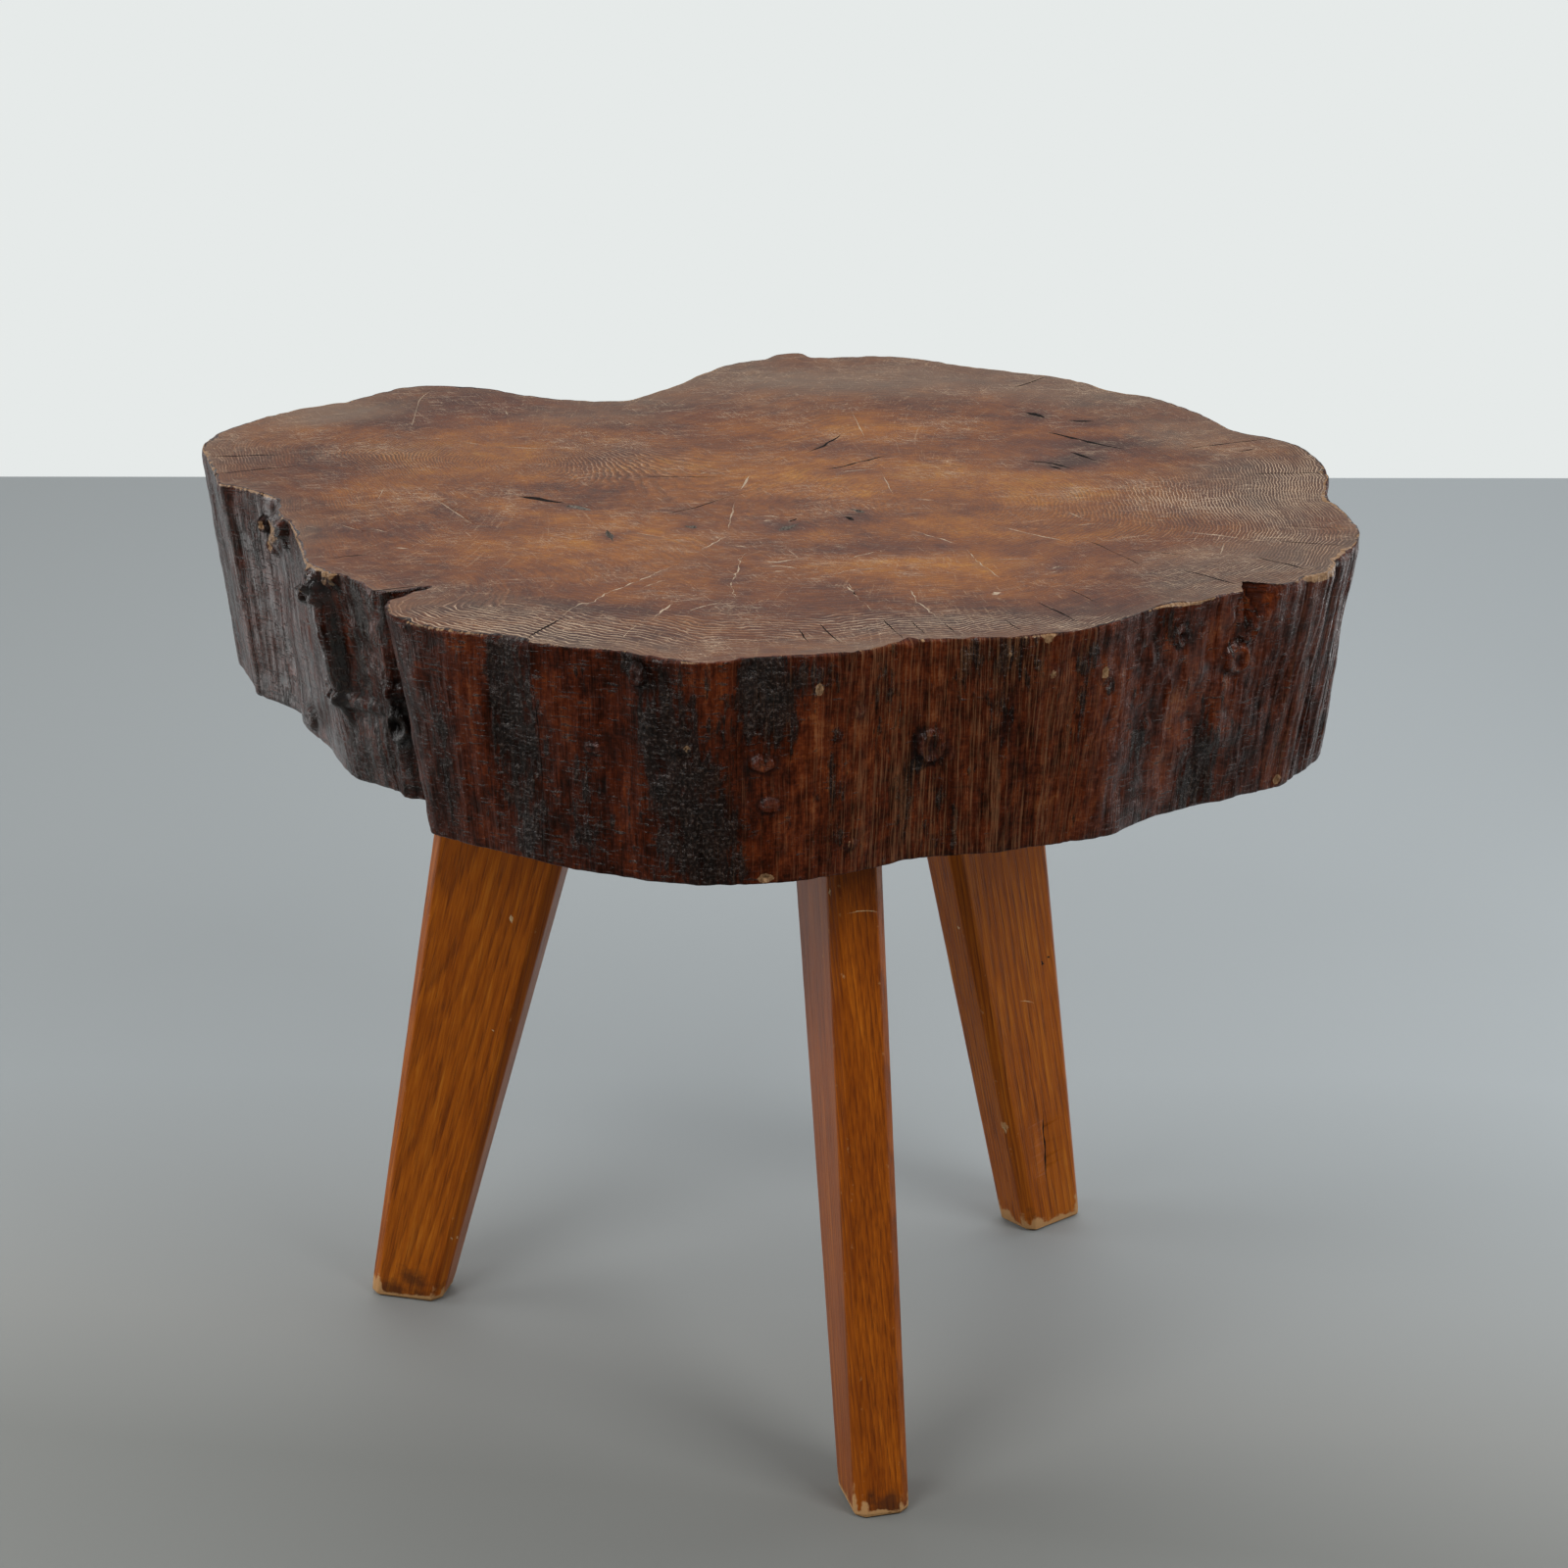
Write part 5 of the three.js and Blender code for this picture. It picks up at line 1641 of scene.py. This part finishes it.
        # In parts, because a table of all the distances at once would be too large
        to_rim = np.concatenate([
            np.sqrt(((part[:, None] - rim[None]) ** 2).sum(-1).min(1))
            for part in np.array_split(place, 1 + len(place) // 2000)])
        hearts = np.array([self.view.drop(*pixel, self.top)[:2] for pixel in self.hearts])
        away = place[:, None] - hearts[None]
        reach = np.linalg.norm(away, axis=2) + 1e-6
        weight = reach ** -3.0
        weight /= weight.sum(1, keepdims=True)
        blend = self.heart_blend
        nearest = np.maximum(-blend * np.log(np.exp(-reach / blend).sum(1)), 0.0)
        growth = nearest / (nearest + to_rim + 1e-6)
        turned = hearts[None] + self.ray_reach * away / reach[..., None]
        crowd = np.interp(place[:, 0], *np.array(RING_CROWD).T)
        rays = np.column_stack([(turned * weight[..., None]).sum(1), crowd])
        tone = np.zeros((len(place), 4))
        tone[:, Tone.WARM] = 0.7 * np.clip((0.95 - growth) / 0.5, 0, 1)
        tone[:, Tone.PALE] = 0.4 * np.clip(1 - to_rim / 9.0, 0, 1)
        for channel, blots in ((Tone.WARM, TOP_WARM), (Tone.DARK, TOP_DARK), (Tone.PALE, TOP_PALE_AND_SHEEN),
                               (Tone.GROOVE_SHADE_AND_RINGS, TOP_RINGS)):
            for across, down, wide, deep, amount in blots:
                middle = self.view.drop(across, down, self.top)[:2]
                gap = (place - middle) / np.array([wide, deep])
                tone[:, channel] += amount * np.exp(-(gap ** 2).sum(1))
        return growth, rays, tone

    def build(self) -> Object:
        """Builds and dresses the slab.

        Returns:
            The slab's object, which stands for its node.
        """
        self.lay_out()
        finishes = [
            BarkedEdge().build(),
            EndGrain().build(),
            EndGrain(name="zelkova_underside_sawn", relief=0.8, dull=0.6).build(),
            # Near black: painted shade on the walls of cracks
            BareWood("crack_shadow", "#0b0604", "#1d100a").build(),
            BareWood("scratched_lacquer", "#86735f", "#b39f88").build(),
            BareWood("weathered_hollow", "#241e1a", "#6c6359", grain=1.3).build(),
        ]
        slab = carve(self.name, self.shell(), self.cutters(), finishes)
        self.mark(slab.data)
        slab.data.shade_smooth()
        slab.data.set_sharp_from_angle(angle=math.radians(self.sharp_from))
        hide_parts(self.node.name)
        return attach(slab, "root")


@dataclass
class SplayedLeg:
    """One leg: the solid's blade and tenon with softened arrises, a worn foot and its marks.

    Lengths are in millimetres, areas in square millimetres and angles in degrees. The log's
    centre and tilt say where the board lay in its log.
    """

    view: PhotoView
    node: Object
    azimuth: float
    head_radius: float
    log_centre: tuple[float, float]
    log_tilt: tuple[float, float]
    marks: list[Groove]
    foot_radius: float = 220.8
    underside: float = 387.0
    foot_ease: float = 3.4
    arris_ease: float = 1.3
    worn_band: float = 2.6
    broad_face: float = 800.0
    pitch: float = 7.0
    plane_depth: float = 0.05
    foot_band: float = 9.0
    chewed: float = 0.9
    flat_within: float = 0.4
    sharp_from: float = 32.0

    def build(self, finishes: list[Material]) -> Object:
        """Builds and dresses the leg.

        Args:
            finishes: The materials in the order of the slots.

        Returns:
            The leg's object, which stands for its node.
        """
        body = bmesh.new()
        body.from_mesh(self.node.data)
        bmesh.ops.remove_doubles(body, verts=body.verts, dist=WELD)
        bmesh.ops.dissolve_limit(body, angle_limit=math.radians(self.flat_within),
                                 verts=body.verts, edges=body.edges)
        self.soften(body)
        self.wear(body)
        bmesh.ops.triangulate(body, faces=body.faces)
        leg = carve(self.node.name + "_worn", body, self.cutters(body), finishes)
        self.mark(leg.data)
        leg.data.shade_smooth()
        leg.data.set_sharp_from_angle(angle=math.radians(self.sharp_from))
        leg.modifiers.new("even_shading", "WEIGHTED_NORMAL").keep_sharp = True
        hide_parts(self.node.name)
        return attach(leg, "root")

    def soften(self, body: BMesh) -> None:
        """Eases the foot's edge and the long arrises.

        Args:
            body: The leg's mesh.
        """
        def on_floor(edge: BMEdge) -> bool:
            """Whether an edge lies on the floor."""
            return all(vert.co.z < 0.1 * MM for vert in edge.verts)

        def is_arris(edge: BMEdge) -> bool:
            """Whether an edge runs up the blade."""
            low, high = sorted(vert.co.z for vert in edge.verts)
            return high - low > 200.0 * MM and low < (self.underside - 2.0) * MM

        for chosen, ease, segments in ((on_floor, self.foot_ease, 4),
                                       (is_arris, self.arris_ease, 3)):
            bmesh.ops.bevel(body, geom=[edge for edge in body.edges if chosen(edge)],
                            offset=ease * MM, offset_type="OFFSET", segments=segments,
                            profile=0.5, affect="EDGES", material=-1)
        wear = body.verts.layers.float.new("wear")
        for vert in body.verts:
            vert[wear] = 1.0
        broad = [face for face in body.faces if face.calc_area() > self.broad_face * MM * MM
                 and min(vert.co.z for vert in face.verts) < 10.0 * MM
                 and abs(face.normal.z) < 0.9]
        bmesh.ops.inset_individual(body, faces=broad, thickness=self.worn_band * MM)
        for face in broad:
            for vert in face.verts:
                vert[wear] = 0.0

    def wear(self, body: BMesh) -> None:
        """Cuts the blade into short lengths and wanders them a little, as hand planing does.

        Args:
            body: The leg's mesh.
        """
        for height in np.arange(2.5, self.underside - 3.0, self.pitch):
            bmesh.ops.bisect_plane(body, geom=[*body.verts, *body.edges, *body.faces],
                                   dist=ON_PLANE, plane_co=(0, 0, float(height) * MM),
                                   plane_no=UP)
        body.normal_update()
        rng = np.random.default_rng(int(abs(self.azimuth) * 10))
        # Each side of the board has a sway of its own
        sway = rng.uniform(-1, 1, (4, 64))
        layer = body.verts.layers.float["wear"]
        for vert in sorted(body.verts, key=lambda v: tuple(round(c, 6) for c in v.co)):
            if vert.co.z > (self.underside - 6.0) * MM:
                continue
            share = vert.co.z / MM / self.pitch
            cell, part = int(share), share % 1.0
            quarter = int((math.atan2(vert.normal.y, vert.normal.x) / math.pi + 1) * 1.99)
            push = sway[quarter, cell] * (1 - part) + sway[quarter, cell + 1] * part
            near_foot = max(0.0, 1 - vert.co.z / (self.foot_band * MM)) * vert[layer]
            push = self.plane_depth * push - self.chewed * near_foot * rng.random()
            shift = vert.normal * push * MM
            shift.z = max(shift.z, -vert.co.z) if vert.co.z > 0.1 * MM else 0.0
            vert.co += shift

    def cutters(self, body: BMesh) -> BMesh:
        """Makes the wedges of the leg's marks, found by looking along the photograph's pixels.

        Args:
            body: The leg's mesh.

        Returns:
            The wedges.
        """
        surface = BVHTree.FromBMesh(body)
        eye = Vector(self.view.place() * MM)
        blades = bmesh.new()
        for index, groove in enumerate(self.marks):
            path, outs = [], []
            for across, down in groove.pixels:
                spot, normal, _, _ = surface.ray_cast(eye, Vector(self.view.ray(across, down)))
                if spot is not None:
                    path.append(np.array(spot) / MM)
                    outs.append(np.array(normal))
            if len(path) > 1:
                groove.cut(blades, path, outs, index)
        return blades

    def mark(self, mesh: Mesh) -> None:
        """Writes each vertex's place in the log that the leg was sawn from.

        Args:
            mesh: The leg's mesh.
        """
        turn = math.radians(self.azimuth)
        out = np.array([math.cos(turn), math.sin(turn)])
        across = np.array([-math.sin(turn), math.cos(turn)])
        spots = read(mesh.vertices, "co", width=3) / MM
        height = spots[:, 2]
        middle = self.foot_radius + (self.head_radius - self.foot_radius) * height / self.underside
        local_x = spots[:, :2] @ out - middle
        local_y = spots[:, :2] @ across
        grain = np.column_stack([
            local_x + self.log_centre[0] + self.log_tilt[0] * height,
            local_y + self.log_centre[1] + self.log_tilt[1] * height,
            height + 3 * self.log_centre[0]])
        write(mesh, "grain", "FLOAT_VECTOR", grain * MM)


# Nicks and scratches of each leg, and the split in the right one
LEG_MARKS = {
    "leg_left":
        strokes(Slot.BARE, 2.2, 0.8, ((521.3, 933.5), (522.4, 938), (523, 942)))
        + strokes(Slot.BARE, 1.2, 0.4, ((466, 1261), (467, 1264)), ((460.5, 1262), (461.5, 1266)),
                  ((502.5, 1050), (503.5, 1053))),
    "leg_front":
        strokes(Slot.BARE, 0.45, 0.15, ((864, 932.6), (873, 930), (881, 928.7), (895, 930)))
        + strokes(Slot.BARE, 1.3, 0.5, ((846.2, 906), (846.8, 914)),
                  ((839.3, 974), (839.8, 978))),
    "leg_right":
        strokes(Slot.CRACK, 1.5, 5.0,
                ((1064.4, 1134), (1065.3, 1160), (1066.3, 1184), (1067.4, 1205)))
        + strokes(Slot.CRACK, 1.8, 1.2, ((1062, 981), (1065, 984.5)), ((1069, 975.5), (1071, 978)))
        + strokes(Slot.BARE, 2.4, 0.7, ((1021.5, 1149), (1025, 1151), (1026.5, 1157)),
                  ((976.5, 944.5), (979, 948.5)))
        + strokes(Slot.BARE, 0.9, 0.25, ((1040, 1022), (1048, 1021.4), (1055, 1023.3))),
}


def legs(view: PhotoView, nodes: Nodes) -> list[SplayedLeg]:
    """The three legs, each with its own place, its own board and its own marks.

    Args:
        view: The photograph's camera.
        nodes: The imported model's nodes by name.

    Returns:
        The legs.
    """
    # Azimuth in degrees, radius of the head, and where the board lay in its log
    places = {
        "leg_left": (165.1, 139.0, (-34.0, 70.0), (0.02, -0.035)),
        "leg_front": (-75.5, 129.0, (26.0, 60.0), (0.02, 0.015)),
        "leg_right": (40.7, 146.5, (40.0, -70.0), (0.02, 0.02)),
    }
    return [SplayedLeg(view, nodes[name], *place, LEG_MARKS[name])
            for name, place in places.items()]


# Marks at the legs' feet: pixel and reach in millimetres
FOOT_STAINS = (((908, 1532), 17.0), ((890, 1526), 10.0), ((420, 1300), 26.0), ((404, 1316), 12.0),
               ((436, 1286), 14.0), ((1050, 1234), 12.0), ((1070, 935), 3.0))
FOOT_RUBS = (((382, 1311), 8.0), ((378, 1300), 5.0), ((898, 1547), 6.0), ((1028, 1240), 7.0),
             ((1060, 1250), 7.0), ((1080, 1246), 6.0), ((1024, 1150), 5.0))


def foot_spots(view: PhotoView, nodes: Nodes, marks: Spots) -> Spots:
    """Finds where the photograph's pixels meet the legs.

    Args:
        view: The photograph's camera.
        nodes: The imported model's nodes by name.
        marks: Pixel and reach of each mark.

    Returns:
        Middle and reach of each mark, in millimetres.
    """
    eye = Vector(view.place() * MM)
    spots = []
    for (across, down), reach in marks:
        ray = Vector(view.ray(across, down))
        hits = [hit for name in ("leg_left", "leg_front", "leg_right")
                if (hit := nodes[name].ray_cast(eye, ray))[0]]
        if hits:
            nearest = min(hits, key=lambda hit: (hit[1] - eye).length)[1]
            spots.append((tuple(c / MM for c in nearest), reach))
    return tuple(spots)


def dress_wedges(nodes: Nodes) -> None:
    """Gives the wedges in the tenons a dry, pale wood.

    Args:
        nodes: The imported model's nodes by name.
    """
    finish = BareWood("oak_wedge_riven", "#8f6436", "#b98d57", grain=2.4).build()
    for name, node in nodes.items():
        if name.endswith("_wedge"):
            node.data.materials.clear()
            node.data.materials.append(finish)
            LOG.info("dressed %s", name)


def main() -> None:
    """Builds the camera, the studio and the table, piece by piece, and notes its size."""
    logging.basicConfig(level=logging.INFO, format="%(name)s: %(message)s")
    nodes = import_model()["nodes"]
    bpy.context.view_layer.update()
    view = PhotoView()
    view.build()
    Studio().build()
    slab = TrunkSlab(view, nodes["slab_top"]).build()
    LOG.info("built %s with %d faces", slab.name, len(slab.data.polygons))
    marks = [foot_spots(view, nodes, table) for table in (FOOT_STAINS, FOOT_RUBS)]
    # The front leg's finish is a copy of the others, with a tint 0.2 darker
    darker, plain = (LegWood(name, shade, *marks).build() for name, shade in (
        ("elm_stained_lacquered_darker", -0.2), ("elm_stained_lacquered", 0.0)))
    # The legs' slots are the slab's: its finishes fill those from TOP to CRACK
    leg_finishes = [*slab.data.materials[Slot.TOP:Slot.BARE],
                    BareWood("bared_elm", "#a98556", "#d6bd92").build()]
    for leg in legs(view, nodes):
        board = darker if leg.node.name == "leg_front" else plain
        built = leg.build([board, *leg_finishes])
        LOG.info("built %s with %d faces", built.name, len(built.data.polygons))
    dress_wedges(nodes)


if __name__ == "__main__":
    main()
